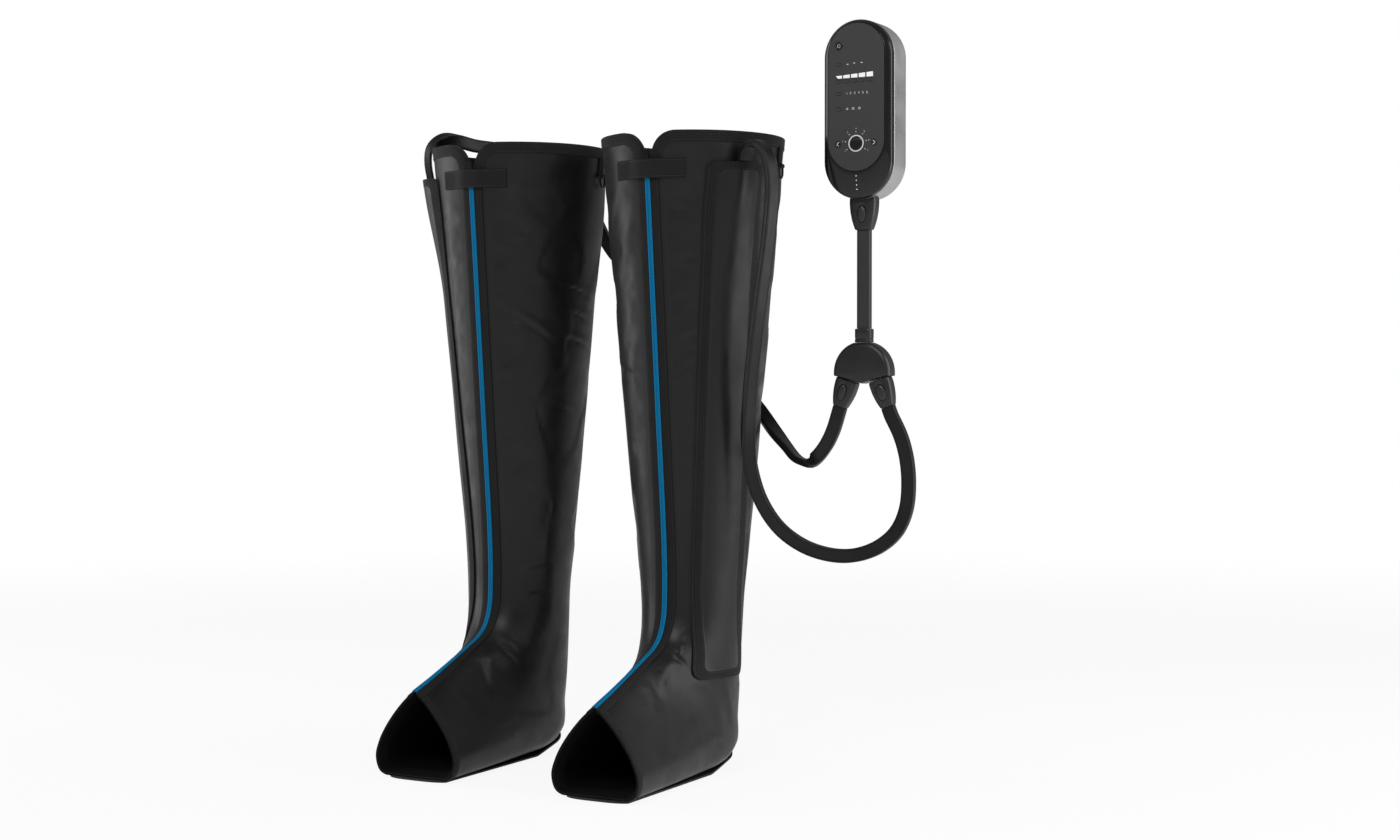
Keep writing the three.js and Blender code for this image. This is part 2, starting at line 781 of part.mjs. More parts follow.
// The thumb button: an oval cap with a domed face, sliding into a pocket in the plug's front
function addPlug(parent, name, halfWidth, halfDepth, length, inPump = false) {
  const centre = -releaseCentreShare * length;
  const face = -halfDepth;
  const pocket = ovalGeometry(releaseHalfWidth + clearance, releaseHalfHeight + clearance, [
    new THREE.Vector2(0, face - cutOverrun),
    new THREE.Vector2(1, face - cutOverrun),
    new THREE.Vector2(1, face + releasePocket),
    new THREE.Vector2(0, face + releasePocket),
  ], releaseSides);
  pocket.translate(0, 0, centre);
  let grip = plugGeometry(halfWidth, halfDepth, length, inPump ? pumpSeatRise : 0);
  if (inPump) {
    const pumpEnd = new THREE.CylinderGeometry(pumpSeatRadius, pumpSeatRadius, pumpWidth, 48);
    pumpEnd.translate(0, 0, pumpSeatRadius);
    const stem = new THREE.BoxGeometry(spigotWidth, spigotDepth, spigotLength + cutOverrun);
    stem.translate(0, 0, (spigotLength - cutOverrun) / 2);
    grip = join(cut(grip, pumpEnd), stem);
  }
  addMesh(parent, name, cut(grip, pocket), plugPlastic);
  const cap = ovalGeometry(releaseHalfWidth, releaseHalfHeight, [
    new THREE.Vector2(0, face - releaseProud),
    new THREE.Vector2(0.55, face - releaseProud * 0.85),
    new THREE.Vector2(0.86, face - releaseProud * 0.3),
    new THREE.Vector2(1, face + releaseProud / 2),
    new THREE.Vector2(1, face + releaseDepth),
    new THREE.Vector2(0, face + releaseDepth),
  ], releaseSides);
  cap.translate(0, 0, centre);
  addMesh(parent, `${name}_release`, cap, buttonPlastic);
}

// Splitter outline: a dome with a flat seat on top and a shallow V below, for the branch plugs
const domeSteps = 14;

function splitterRing(inset, y) {
  const shrink = (splitterHalfWidth - inset) / splitterHalfWidth;
  const centreZ = splitterBottom + splitterShoulder + splitterSide;
  const seat = Math.asin((collarWidth / 2 + clearance) / splitterHalfWidth);
  const ring = [[0, splitterBottom], [splitterHalfWidth, splitterBottom + splitterShoulder]];
  for (let i = 0; i <= domeSteps / 2; i += 1) {
    const angle = THREE.MathUtils.lerp(0, Math.PI / 2 - seat, i / (domeSteps / 2));
    ring.push([splitterHalfWidth * Math.cos(angle), centreZ + splitterHalfWidth * Math.sin(angle)]);
  }
  const right = ring.slice(1).reverse();
  const whole = [...ring, ...right.map(([x, z]) => [-x, z])];
  return whole.map(([x, z]) => new THREE.Vector3(x * shrink, y, centreZ + (z - centreZ) * shrink));
}

function splitterHalf(direction) {
  const face = direction * splitterHalfDepth;
  return loft([
    splitterRing(splitterRounding, face),
    splitterRing(splitterRounding * 0.3, face - direction * splitterRounding * 0.4),
    splitterRing(0, face - direction * splitterRounding),
    splitterRing(0, direction * clearance / 2),
  ]);
}

function splitterSeatHeight() {
  const seat = Math.asin((collarWidth / 2 + clearance) / splitterHalfWidth);
  return splitterBottom + splitterShoulder + splitterSide + splitterHalfWidth * Math.cos(seat);
}

function roundedBlock(width, depth, height, bevel) {
  const shape = new THREE.Shape();
  const x = width / 2 - bevel;
  const y = depth / 2 - bevel;
  shape.moveTo(-x, -y);
  shape.lineTo(x, -y);
  shape.lineTo(x, y);
  shape.lineTo(-x, y);
  shape.closePath();
  const geometry = new THREE.ExtrudeGeometry(shape, {
    depth: height - 2 * bevel, bevelSize: bevel, bevelThickness: bevel, bevelSegments: 1, curveSegments: 1,
  });
  return geometry.translate(0, 0, bevel);
}

// Routes of the two branch hoses, chosen by hand, from the splitter to the sleeves
const rightRoute = [
  [430, 0, 440], [438, 0, 413], [441, 0, 382], [438, -1, 348], [425, -3, 320], [398, -6, 299],
  [359, -10, 289], [312, -16, 297], [275, -22, 320], [253, -29, 352], [243, -37, 387], [241, -45, 427],
  [247, -54, 483], [258, -62, 546], [270, -68, 608], [281, -71, 669], [288, -73, 718], [290, -74, 753],
  [285, -73, 781], [274.4, -69.2, 798], [260.8, -65.9, 804], [248.1, -63.2, 796], [241.2, -59.6, 776],
  [237.6, -57.5, 749],
];
const leftRoute = [
  [336, 2, 443], [321, 6, 421], [300, 14, 405], [276, 26, 406], [251, 42, 422], [222, 61, 443],
  [190, 80, 470], [145, 102, 503], [78, 121, 552], [5, 135, 613], [-49, 145, 660], [-88, 151, 697],
  [-112, 150, 740], [-134, 146, 782], [-153, 137, 812], [-167, 123, 828], [-178, 107, 834],
  [-191, 84, 832], [-202, 58, 831.5], [-211, 30, 832], [-219, 5, 833], [-229, -19, 838],
  [-239.9, -39.8, 838], [-247.5, -55.1, 826], [-246.4, -60.6, 803], [-241.2, -59.6, 776],
  [-237.6, -57.5, 749],
];
const straightEnd = 8;

function routeFrom(start, direction, route) {
  const lead = start.clone().addScaledVector(direction, straightEnd);
  return [start, lead, ...route.map(([x, y, z]) => new THREE.Vector3(x, y, z))];
}

function addHoses() {
  const splitter = new THREE.Group();
  splitter.position.x = pumpX;
  set.add(splitter);
  addMesh(splitter, "splitter_front", splitterHalf(-1), plugPlastic);
  addMesh(splitter, "splitter_back", splitterHalf(1), plugPlastic);
  const collarBottom = splitterSeatHeight() + clearance;
  const collar = roundedBlock(collarWidth, collarDepth, collarHeight, collarBevel);
  collar.translate(0, 0, collarBottom);
  addMesh(splitter, "splitter_collar", collar, plugPlastic);

  const plugTop = pumpBottom - clearance;
  const plug = new THREE.Group();
  plug.position.set(pumpX, 0, plugTop);
  set.add(plug);
  addPlug(plug, "pump_plug", pumpPlugHalfWidth, pumpPlugHalfDepth, pumpPlugLength, true);

  const trunkTop = plugTop - pumpPlugLength - clearance;
  const trunkBottom = collarBottom + collarHeight + clearance;
  const trunk = [trunkTop, trunkBottom].map((z) => new THREE.Vector3(pumpX, 0, z));
  const across = new THREE.Vector3(1, 0, 0);
  addMesh(set, "trunk_hose", hoseGeometry(trunk, [[0, across], [1, across]], trunkSteps), hoseRubber);

  const routes = { right: rightRoute, left: leftRoute };
  const steps = { right: rightSteps, left: leftSteps };
  const guides = {
    right: [[0, [1, 0, 0]], [0.12, [1, 0, 0]], [0.3, [0, 0, -1]], [0.42, [-1, 0, -0.6]],
      [0.56, [-0.44, -0.9, 0]], [1, [-0.44, -0.9, 0]]],
    left: [[0, [1, 0, 0]], [0.05, [1, 0, 0]], [0.13, [0, -1, 0]], [0.22, [-0.5, -0.6, -0.5]],
      [0.32, [0, 0, -1]], [0.86, [0, 0, -1]], [0.94, [-0.51, 0.86, 0]], [1, [-0.51, 0.86, 0]]],
  };
  for (const [name, side] of [["right", 1], ["left", -1]]) {
    const seat = new THREE.Group();
    seat.position.set(pumpX + side * branchSeatX, 0, branchSeatHeight());
    seat.rotation.y = -side * branchAngle;
    set.add(seat);
    addPlug(seat, `${name}_branch_plug`, branchPlugHalfWidth, pumpPlugHalfDepth, branchPlugLength);
    const down = new THREE.Vector3(side * Math.sin(branchAngle), 0, -Math.cos(branchAngle));
    const start = seat.position.clone().addScaledVector(down, branchPlugLength + clearance);
    const turns = guides[name].map(([share, vector]) => [share, new THREE.Vector3(...vector)]);
    const points = routeFrom(start, down, routes[name]);
    addMesh(set, `${name}_hose`, hoseGeometry(points, turns, steps[name]), hoseRubber);
  }
}

function branchSeatHeight() {
  const slope = splitterShoulder / splitterHalfWidth;
  const tilt = Math.tan(branchAngle) - slope;
  const drop = clearance + branchPlugHalfWidth * tilt;
  return splitterBottom + branchSeatX * slope - drop;
}

// Pump housing: rings of the pill outline, at a depth behind the front face
function pillRing(halfWidth, bottom, top, depth) {
  const ring = [];
  for (const [centre, start] of [[top - halfWidth, 0], [bottom + halfWidth, Math.PI]]) {
    for (let i = 0; i <= arcSteps; i += 1) {
      const angle = start + (i / arcSteps) * Math.PI;
      const x = halfWidth * Math.cos(angle);
      ring.push(new THREE.Vector3(x, pumpFront + depth, centre + halfWidth * Math.sin(angle)));
    }
  }
  return ring;
}

function housingRing(inset, depth) {
  return pillRing(pumpWidth / 2 - inset, pumpBottom + inset, pumpTop - inset, depth);
}

const panelTop = pumpTop - panelTopMargin;
const panelBottom = pumpBottom + panelBottomMargin;

function panelRing(growth, depth) {
  return pillRing(panelWidth / 2 + growth, panelBottom - growth, panelTop + growth, depth);
}

function frontShellGeometry() {
  const pocketDepth = panelThickness + clearance;
  const roundStart = bevelDepth * 0.85;
  return loft([
    panelRing(clearance, 0),
    housingRing(pumpWall * 0.7, roundStart),
    housingRing(0, bevelDepth + clearance),
    housingRing(0, seamDepth),
    housingRing(pumpWall, seamDepth),
    housingRing(pumpWall, bevelDepth + clearance),
    panelRing(ledgeWidth * 0.75, ledgeDepth),
    panelRing(-ledgeWidth, ledgeDepth),
    panelRing(-ledgeWidth, pocketDepth),
    panelRing(clearance, pocketDepth),
  ], true);
}

const socketHalfWidth = spigotWidth / 2 + clearance + socketWall;
const socketHalfDepth = spigotDepth / 2 + clearance + socketWall;

function rearShellGeometry() {
  const shell = loft([
    housingRing(backInset, pumpDepth),
    housingRing(backInset * 0.6, pumpDepth - backRounding * 0.1),
    housingRing(backInset * 0.3, pumpDepth - backRounding * 0.35),
    housingRing(backInset * 0.08, pumpDepth - backRounding * 0.7),
    housingRing(0, pumpDepth - backRounding),
    housingRing(0, seamDepth + clearance),
    housingRing(pumpWall, seamDepth + clearance),
    housingRing(pumpWall, pumpDepth - backRounding),
    housingRing(pumpWall + backInset * 0.3, pumpDepth - backRounding * 0.45),
    housingRing(pumpWall + backInset * 0.6, pumpDepth - pumpWall),
  ]);
  const socketHole = new THREE.BoxGeometry(
    2 * (socketHalfWidth + clearance), 2 * (socketHalfDepth + clearance), 2 * pumpWall + cutOverrun);
  socketHole.translate(0, 0, pumpBottom + pumpWall);
  const chargeHole = new THREE.CylinderGeometry(
    chargeRadius + clearance, chargeRadius + clearance, 2 * pumpWall + cutOverrun, 16);
  chargeHole.rotateZ(Math.PI / 2);
  chargeHole.translate(-pumpWidth / 2 + pumpWall / 2, pumpFront + chargeDepth, chargeHeight);
  return cut(shell, socketHole, chargeHole);
}

// Controls, each with its place on the panel: across from the middle line, and height
function controlPlaces() {
  const places = [
    ["power_button", leftColumn, panelTop - powerDrop, powerRadius, powerRadius],
    ["pressure_button", leftColumn, panelTop - pressureDrop, ovalHalfWidth, ovalHalfHeight],
    ["mode_button", leftColumn, panelTop - modeDrop, ovalHalfWidth, ovalHalfHeight],
    ["time_button", leftColumn, panelTop - timeDrop, ovalHalfWidth, ovalHalfHeight],
    ["previous_button", -arrowOffset, panelTop - startDrop, arrowRadius, arrowRadius],
    ["next_button", arrowOffset, panelTop - startDrop, arrowRadius, arrowRadius],
  ];
  for (let i = 0; i < chamberCount; i += 1) {
    const x = leftColumn + i * chamberPitch;
    places.push([`chamber_button_${i + 1}`, x, panelTop - chamberDrop, ovalHalfWidth, ovalHalfHeight]);
  }
  return places;
}

// Window outlines: a foot with its toe to the left, then four steps of a widening leg
function windowOutline(i, growth) {
  const left = leftColumn + i * chamberPitch - windowWidth / 2;
  const right = left + windowWidth;
  const bottom = panelTop - windowDrop;
  const heightAt = (x) => {
    const share = (x - leftColumn) / ((chamberCount - 1) * chamberPitch);
    return THREE.MathUtils.lerp(windowAnkleHeight, windowThighHeight, Math.max(share, 0));
  };
  const low = bottom - growth;
  const start = i === 0 ? left + windowToeReach : left;
  const rightTop = bottom + heightAt(right) + growth;
  const leftTop = bottom + heightAt(left) + growth;
  return [
    [start - growth, low],
    [right + growth, low],
    [right + growth, rightTop],
    [left - growth, leftTop],
  ];
}

function polygonShape(corners) {
  return new THREE.Shape(corners.map(([x, z]) => new THREE.Vector2(x, z)));
}

// Turns a solid drawn in X and Y and raised along Z so that it faces the front, at a depth
function faceFront(geometry, depth) {
  geometry.rotateX(Math.PI / 2);
  return geometry.translate(0, pumpFront + depth, 0);
}

const buttonSides = 12;
const startSides = 24;

// A hole whose corners match those of a revolved cap with the same number of sides
function ovalHole(x, z, halfWidth, halfHeight, sides) {
  const hole = new THREE.Path();
  hole.setFromPoints(Array.from({ length: sides }, (_, i) => {
    const angle = (i / sides) * Math.PI * 2;
    return new THREE.Vector2(x + halfWidth * Math.sin(angle), z + halfHeight * Math.cos(angle));
  }));
  return hole;
}

function panelGeometry() {
  const outline = panelRing(0, 0).map((point) => [point.x, point.z]);
  const shape = polygonShape(outline);
  for (const [, x, z, halfWidth, halfHeight] of controlPlaces()) {
    shape.holes.push(ovalHole(x, z, halfWidth + clearance, halfHeight + clearance, buttonSides));
  }
  const ringOuter = startRadius + clearance + startRingWidth + clearance;
  shape.holes.push(ovalHole(0, panelTop - startDrop, ringOuter, ringOuter, startSides));
  const panel = new THREE.ExtrudeGeometry(shape, { depth: panelThickness, bevelEnabled: false });
  faceFront(panel, panelThickness);
  const windows = [];
  for (let i = 0; i < chamberCount; i += 1) {
    const depth = panelThickness + 2 * cutOverrun;
    const window = polygonShape(windowOutline(i, clearance));
    const tool = new THREE.ExtrudeGeometry(window, { depth, bevelEnabled: false });
    windows.push(faceFront(tool, depth - cutOverrun));
  }
  return cut(panel, ...windows);
}

function guideGeometry() {
  const left = leftColumn - windowWidth / 2 - guideMargin;
  const right = leftColumn + (chamberCount - 1) * chamberPitch + windowWidth / 2 + guideMargin;
  const bottom = panelTop - windowDrop - guideMargin / 2;
  const top = panelTop - windowDrop + windowThighHeight + guideMargin;
  const plate = new THREE.ExtrudeGeometry(
    polygonShape([[left, bottom], [right, bottom], [right, top], [left, top]]),
    { depth: guideThickness, bevelEnabled: false });
  faceFront(plate, panelThickness + clearance + guideThickness);
  const windows = [];
  for (let i = 0; i < chamberCount; i += 1) {
    const reach = panelThickness + clearance + guideThickness / 2;
    const window = polygonShape(windowOutline(i, 0));
    const pane = new THREE.ExtrudeGeometry(window, { depth: reach, bevelEnabled: false });
    windows.push(faceFront(pane, reach));
  }
  return join(plate, ...windows);
}

const dishShares = [0.8, 0.88, 1];

// Button: a dished cap with a rim, and a flange that keeps it behind the panel
function buttonGeometry(halfWidth, halfHeight, flangeDepth, sides) {
  const grown = 1 + buttonFlange / Math.max(halfWidth, halfHeight);
  const profile = [
    new THREE.Vector2(0, -buttonProud + dishDepth),
    new THREE.Vector2(dishShares[0], -buttonProud),
    new THREE.Vector2(dishShares[1], -buttonProud),
    new THREE.Vector2(dishShares[2], 0),
    new THREE.Vector2(dishShares[2], flangeDepth),
    new THREE.Vector2(grown, flangeDepth),
    new THREE.Vector2(grown, flangeDepth + flangeThickness),
    new THREE.Vector2(0, flangeDepth + flangeThickness),
  ];
  return ovalGeometry(halfWidth, halfHeight, profile, sides);
}

function addButton(parent, name, x, z, halfWidth, halfHeight, flangeDepth, sides = buttonSides) {
  const geometry = buttonGeometry(halfWidth, halfHeight, flangeDepth, sides);
  const button = addMesh(parent, name, geometry, buttonPlastic);
  button.position.set(x, pumpFront, z);
}

function startRingGeometry() {
  const inner = startRadius + clearance;
  const outer = inner + startRingWidth;
  const back = panelThickness + clearance;
  return new THREE.LatheGeometry([
    new THREE.Vector2(inner, 0),
    new THREE.Vector2(outer, 0),
    new THREE.Vector2(outer, back),
    new THREE.Vector2(outer + buttonFlange + clearance, back),
    new THREE.Vector2(outer + buttonFlange + clearance, back + flangeThickness),
    new THREE.Vector2(inner, back + flangeThickness),
    new THREE.Vector2(inner, 0),
  ], startSides);
}

function boardGeometry() {
  const outline = panelRing(0, 0).map((point) => [point.x, point.z]);
  const depth = ledgeDepth + clearance + boardThickness;
  const options = { depth: boardThickness, bevelEnabled: false };
  const board = new THREE.ExtrudeGeometry(polygonShape(outline), options);
  return faceFront(board, depth);
}

const innerBack = pumpFront + pumpDepth - pumpWall - clearance;

function batteryGeometry() {
  const radius = batteryDepth / 2;
  const x = batteryWidth / 2 - radius;
  const shape = new THREE.Shape();
  shape.absarc(x, 0, radius, -Math.PI / 2, Math.PI / 2, false);
  shape.absarc(-x, 0, radius, Math.PI / 2, Math.PI * 1.5, false);
  const options = { depth: batteryLength, bevelEnabled: false, curveSegments: 8 };
  const pack = new THREE.ExtrudeGeometry(shape, options);
  return pack.translate(0, innerBack - radius, batteryBottom);
}

function compressorGeometry() {
  const head = roundedBlock(compressorWidth, compressorDepth, compressorHeight, compressorBevel);
  return head.translate(0, innerBack - compressorDepth / 2, compressorBottom);
}

function motorGeometry() {
  const top = motorLength;
  const boss = motorRadius / 3;
  const motor = new THREE.LatheGeometry([
    new THREE.Vector2(0, 0),
    new THREE.Vector2(motorRadius * 0.92, 0),
    new THREE.Vector2(motorRadius, motorRadius * 0.08),
    new THREE.Vector2(motorRadius, top - motorRadius * 0.08),
    new THREE.Vector2(motorRadius * 0.92, top),
    new THREE.Vector2(boss, top),
    new THREE.Vector2(boss, top + boss / 2),
    new THREE.Vector2(0, top + boss / 2),
  ], 16);
  motor.rotateX(Math.PI / 2);
  return motor.translate(0, innerBack - motorRadius, compressorBottom + compressorHeight + clearance);
}

function manifoldGeometry() {
  const block = roundedBlock(manifoldWidth, manifoldDepth, manifoldHeight, manifoldBevel);
  const nipples = [];
  for (let i = 0; i < chamberCount; i += 1) {
    const nipple = new THREE.CylinderGeometry(nippleRadius, nippleRadius, nippleLength + cutOverrun, 8);
    nipple.rotateX(Math.PI / 2);
    const x = (i - (chamberCount - 1) / 2) * nipplePitch;
    nipples.push(nipple.translate(x, 0, manifoldHeight + (nippleLength - cutOverrun) / 2));
  }
  return join(block, ...nipples).translate(0, innerBack - manifoldDepth / 2, manifoldBottom);
}

function rectangleRing(halfWidth, halfDepth, z) {
  return [[-1, -1], [1, -1], [1, 1], [-1, 1]].map(([x, y]) =>
    new THREE.Vector3(x * halfWidth, y * halfDepth, z));
}

// Outlet socket: a cup, open below, that the plug's spigot slides into
function socketGeometry() {
  const bore = [spigotWidth / 2 + clearance, spigotDepth / 2 + clearance];
  const top = pumpBottom + socketLength;
  const endRadius = pumpWidth / 2;
  const mouth = pumpBottom + endRadius - Math.sqrt(endRadius ** 2 - socketHalfWidth ** 2);
  return loft([
    rectangleRing(socketHalfWidth, socketHalfDepth, top),
    rectangleRing(socketHalfWidth, socketHalfDepth, mouth + clearance),
    rectangleRing(...bore, mouth + clearance),
    rectangleRing(...bore, top - socketWall),
  ]);
}

function chargeSocketGeometry() {
  const flange = chargeRadius + chargeFlange;
  const inside = pumpWall + clearance;
  const socket = new THREE.LatheGeometry([
    new THREE.Vector2(0, chargeLength - socketWall),
    new THREE.Vector2(chargeBore, chargeLength - socketWall),
    new THREE.Vector2(chargeBore, clearance),
    new THREE.Vector2(chargeRadius, clearance),
    new THREE.Vector2(chargeRadius, inside),
    new THREE.Vector2(flange, inside),
    new THREE.Vector2(flange, chargeLength),
    new THREE.Vector2(0, chargeLength),
  ], 16);
  socket.rotateZ(-Math.PI / 2);
  return socket.translate(-pumpWidth / 2, pumpFront + chargeDepth, chargeHeight);
}

function addPump() {
  const pump = new THREE.Group();
  pump.position.x = pumpX;
  set.add(pump);
  addMesh(pump, "front_shell", frontShellGeometry(), glossBlack);
  addMesh(pump, "rear_shell", rearShellGeometry(), greyShell);
  addMesh(pump, "control_panel", panelGeometry(), mattePanel);
  addMesh(pump, "chamber_light_guide", guideGeometry(), whiteLight);
  const startRing = addMesh(pump, "start_ring", startRingGeometry(), whiteLight);
  startRing.position.set(0, pumpFront, panelTop - startDrop);
  const flangeDepth = panelThickness + clearance;
  for (const [name, x, z, halfWidth, halfHeight] of controlPlaces()) {
    addButton(pump, name, x, z, halfWidth, halfHeight, flangeDepth);
  }
  const startFlange = flangeDepth + flangeThickness + clearance;
  const startHeight = panelTop - startDrop;
  addButton(pump, "start_button", 0, startHeight, startRadius, startRadius, startFlange, startSides);
  addMesh(pump, "main_board", boardGeometry(), boardGreen);
  addMesh(pump, "battery_pack", batteryGeometry(), batteryWrap);
  addMesh(pump, "air_compressor", compressorGeometry(), castMetal);
  addMesh(pump, "compressor_motor", motorGeometry(), motorSteel);
  addMesh(pump, "valve_manifold", manifoldGeometry(), manifoldPlastic);
  addMesh(pump, "outlet_socket", socketGeometry(), buttonPlastic);
  addMesh(pump, "charge_socket", chargeSocketGeometry(), buttonPlastic);
}

addBoot("right", 1);
addBoot("left", -1);
addHoses();
addPump();

// The origin: on the floor, under the middle of everything but the hoses and what is on them
function centreOnFloor() {
  set.updateMatrixWorld(true);
  const box = new THREE.Box3();
  set.traverse((object) => {
    const onHose = /hose$|plug|splitter/.test(object.name);
    if (object.isMesh && !onHose) box.expandByObject(object, true);
  });
  const centre = box.getCenter(new THREE.Vector3());
  set.position.set(-centre.x, -centre.y, 0);
}

centreOnFloor();

export default set;
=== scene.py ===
import json
import math

import bpy
import numpy as np
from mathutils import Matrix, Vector
from mathutils.geometry import tessellate_polygon

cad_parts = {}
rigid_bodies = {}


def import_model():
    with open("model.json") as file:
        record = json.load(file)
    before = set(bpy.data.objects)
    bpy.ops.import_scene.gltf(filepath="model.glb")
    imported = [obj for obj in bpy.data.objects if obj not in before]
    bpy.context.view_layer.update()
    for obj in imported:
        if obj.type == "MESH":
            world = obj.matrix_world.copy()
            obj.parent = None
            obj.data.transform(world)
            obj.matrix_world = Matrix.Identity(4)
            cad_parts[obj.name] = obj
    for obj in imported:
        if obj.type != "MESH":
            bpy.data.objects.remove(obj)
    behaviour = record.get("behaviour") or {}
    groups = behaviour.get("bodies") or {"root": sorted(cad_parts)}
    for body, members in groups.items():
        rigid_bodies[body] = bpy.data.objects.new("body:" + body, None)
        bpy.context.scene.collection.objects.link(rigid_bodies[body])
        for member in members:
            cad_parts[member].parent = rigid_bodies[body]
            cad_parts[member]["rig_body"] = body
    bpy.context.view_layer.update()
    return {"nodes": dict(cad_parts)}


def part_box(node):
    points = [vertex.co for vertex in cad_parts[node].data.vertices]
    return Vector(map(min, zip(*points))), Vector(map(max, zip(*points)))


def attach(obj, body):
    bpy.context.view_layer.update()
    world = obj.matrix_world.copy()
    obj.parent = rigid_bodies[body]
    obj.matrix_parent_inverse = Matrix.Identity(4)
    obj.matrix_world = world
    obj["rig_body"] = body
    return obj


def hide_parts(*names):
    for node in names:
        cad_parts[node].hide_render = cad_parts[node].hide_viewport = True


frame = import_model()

# Air compression leg boots with their hand-held pump. Sizes are in millimetres, in the frame of the
# CAD source: the floor at Z 0, the middle between the boots at X 0 and the leg axes at Y 0.
MM = 0.001

# Boot: overall form
BOOT_HEIGHT = 820
BOOT_SPACING = 270
RIM_RADIUS = 118.7
ANKLE_HEIGHT = 300
ANKLE_RADIUS = 72.6
FOOT_LENGTH = 305
HEEL_REACH = 65
FOOT_HALF_WIDTH = 62
SOLE_SEAT = 3.3
SHELL_THICKNESS = 2
BINDING_WIDTH = 15
NOTCH_RADIUS = 33
SLIT_HALF_SHARE = 0.008

# Where the source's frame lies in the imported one
sole_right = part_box("right_sole")
sole_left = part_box("left_sole")
SHIFT = np.array([
    (sole_right[0].x + sole_left[1].x) / 2,
    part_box("right_shell")[1].y - RIM_RADIUS * MM,
    0.0,
])


def metres(points):
    return np.asarray(points, float) * MM + SHIFT


# Camera, fitted to the photograph
CAMERA_PLACE = (1511.46, -2400.47, 505.27)
CAMERA_TILT = 88.9929
CAMERA_TURN = 29.6437
CAMERA_LENS = 54.68

camera_data = bpy.data.cameras.new("camera")
camera_data.lens = CAMERA_LENS
camera_data.sensor_width = 36
camera = bpy.data.objects.new("camera", camera_data)
camera.location = metres(CAMERA_PLACE)
camera.rotation_euler = (math.radians(CAMERA_TILT), 0, math.radians(CAMERA_TURN))
bpy.context.scene.collection.objects.link(camera)
bpy.context.scene.camera = camera


# Curves
def points_of(*parts):
    """Points from their coordinates, each an array or one number"""
    return np.stack(np.broadcast_arrays(*parts), axis=-1)


def unit(vectors):
    return vectors / np.linalg.norm(vectors, axis=-1, keepdims=True)


def lengths_along(line):
    """Length from the start of a line, or of each line of a grid, to each of its points"""
    steps = np.linalg.norm(np.diff(line, axis=0), axis=-1)
    return np.concatenate([0 * steps[:1], np.cumsum(steps, axis=0)])


def eased(values, passes=4):
    """The values with each inner one drawn to the mean of its neighbours"""
    for _ in range(passes):
        values[1:-1] = (values[:-2] + 2 * values[1:-1] + values[2:]) / 4
    return values


def root_gap(a, b):
    return np.maximum(np.sum((a - b) ** 2, axis=-1, keepdims=True) ** 0.25, 1e-6)


def smooth_line(points, t, closed=False):
    """Centripetal Catmull-Rom line through the points, at places t from 0 to 1"""
    p = np.asarray(points, float)
    n = len(p)
    where = np.asarray(t, float) * (n if closed else n - 1)
    i = np.floor(where).astype(int)
    if closed:
        near = [p[(i + k) % n] for k in (-1, 0, 1, 2)]
    else:
        i = np.clip(i, 0, n - 2)
        ends = np.vstack([2 * p[0] - p[1], p, 2 * p[-1] - p[-2]])
        near = [ends[i + k] for k in (0, 1, 2, 3)]
    w = (where - i)[..., None]
    a, b, c, d = near
    before, along, after = root_gap(a, b), root_gap(b, c), root_gap(c, d)
    start = ((b - a) / before - (c - a) / (before + along) + (c - b) / along) * along
    end = ((c - b) / along - (d - b) / (along + after) + (d - c) / after) * along
    return b + start * w + (3 * (c - b) - 2 * start - end) * w**2 + (2 * (b - c) + start + end) * w**3


def even_places(points, shares, closed=False, divisions=200):
    """Places t on a line whose arc lengths from its start are the given shares of the whole"""
    t = np.linspace(0, 1, divisions + 1)
    lengths = lengths_along(smooth_line(points, t, closed))
    return np.interp(np.asarray(shares) * lengths[-1], lengths, t)


def smoothstep(value, low, high):
    x = np.clip((value - low) / (high - low), 0, 1)
    return x * x * (3 - 2 * x)


def lerp(a, b, share):
    return a + (b - a) * share


# Boot surface: sections along the leg and foot, numbered in rows, with shares counted round each
FOOT_SHARES = [
    [0.446, 0.8, 0, 0.77, 1.082, 0],
    [0.456, 0.68, 0, 0.58, 1.041, 0],
    [0.492, 0.6, 0, 0.4, 1.008, 0.04],
    [0.544, 0.555, 0.004, 0.23, 0.975, 0.1],
    [0.607, 0.525, 0.027, 0.09, 0.951, 0.25],
    [0.679, 0.494, 0.09, 0.02, 0.934, 0.45],
    [0.757, 0.461, 0.23, 0, 0.934, 0.62],
    [0.882, 0.41, 0.574, 0, 0.967, 0.85],
    [1, 0.366, 1, 0, 1, 1],
]
TOE_SHARES = [[0, 1], [0.17, 0.94], [0.41, 0.81], [0.72, 0.59], [0.91, 0.4], [1, 0.22], [0.93, 0.07], [0.72, 0]]
LEG_SHARES = [0, 1 / 3, 2 / 3, 1]
SHARE_STEP = 0.004


def section_stations():
    front, back, form = [], [], []
    for share in LEG_SHARES:
        height = lerp(BOOT_HEIGHT, ANKLE_HEIGHT, share)
        radius = lerp(RIM_RADIUS, ANKLE_RADIUS, share)
        front.append([-radius, height])
        back.append([radius, height])
        form.append([radius, 0])
    rise = ANKLE_HEIGHT - SOLE_SEAT
    for front_along, front_up, back_along, back_up, half, square in FOOT_SHARES:
        front.append([HEEL_REACH - front_along * FOOT_LENGTH, SOLE_SEAT + front_up * rise])
        back.append([HEEL_REACH - back_along * FOOT_LENGTH, SOLE_SEAT + back_up * rise])
        form.append([half * FOOT_HALF_WIDTH, square * half * FOOT_HALF_WIDTH])
    return np.array(front), np.array(back), np.array(form)


FRONT_LINE, BACK_LINE, FORM_LINE = section_stations()
LAST_ROW = len(FRONT_LINE) - 1
toe_left = [[-x, up] for x, up in TOE_SHARES[1:][::-1]]
TOE_OUTLINE = np.array(TOE_SHARES + toe_left, float)


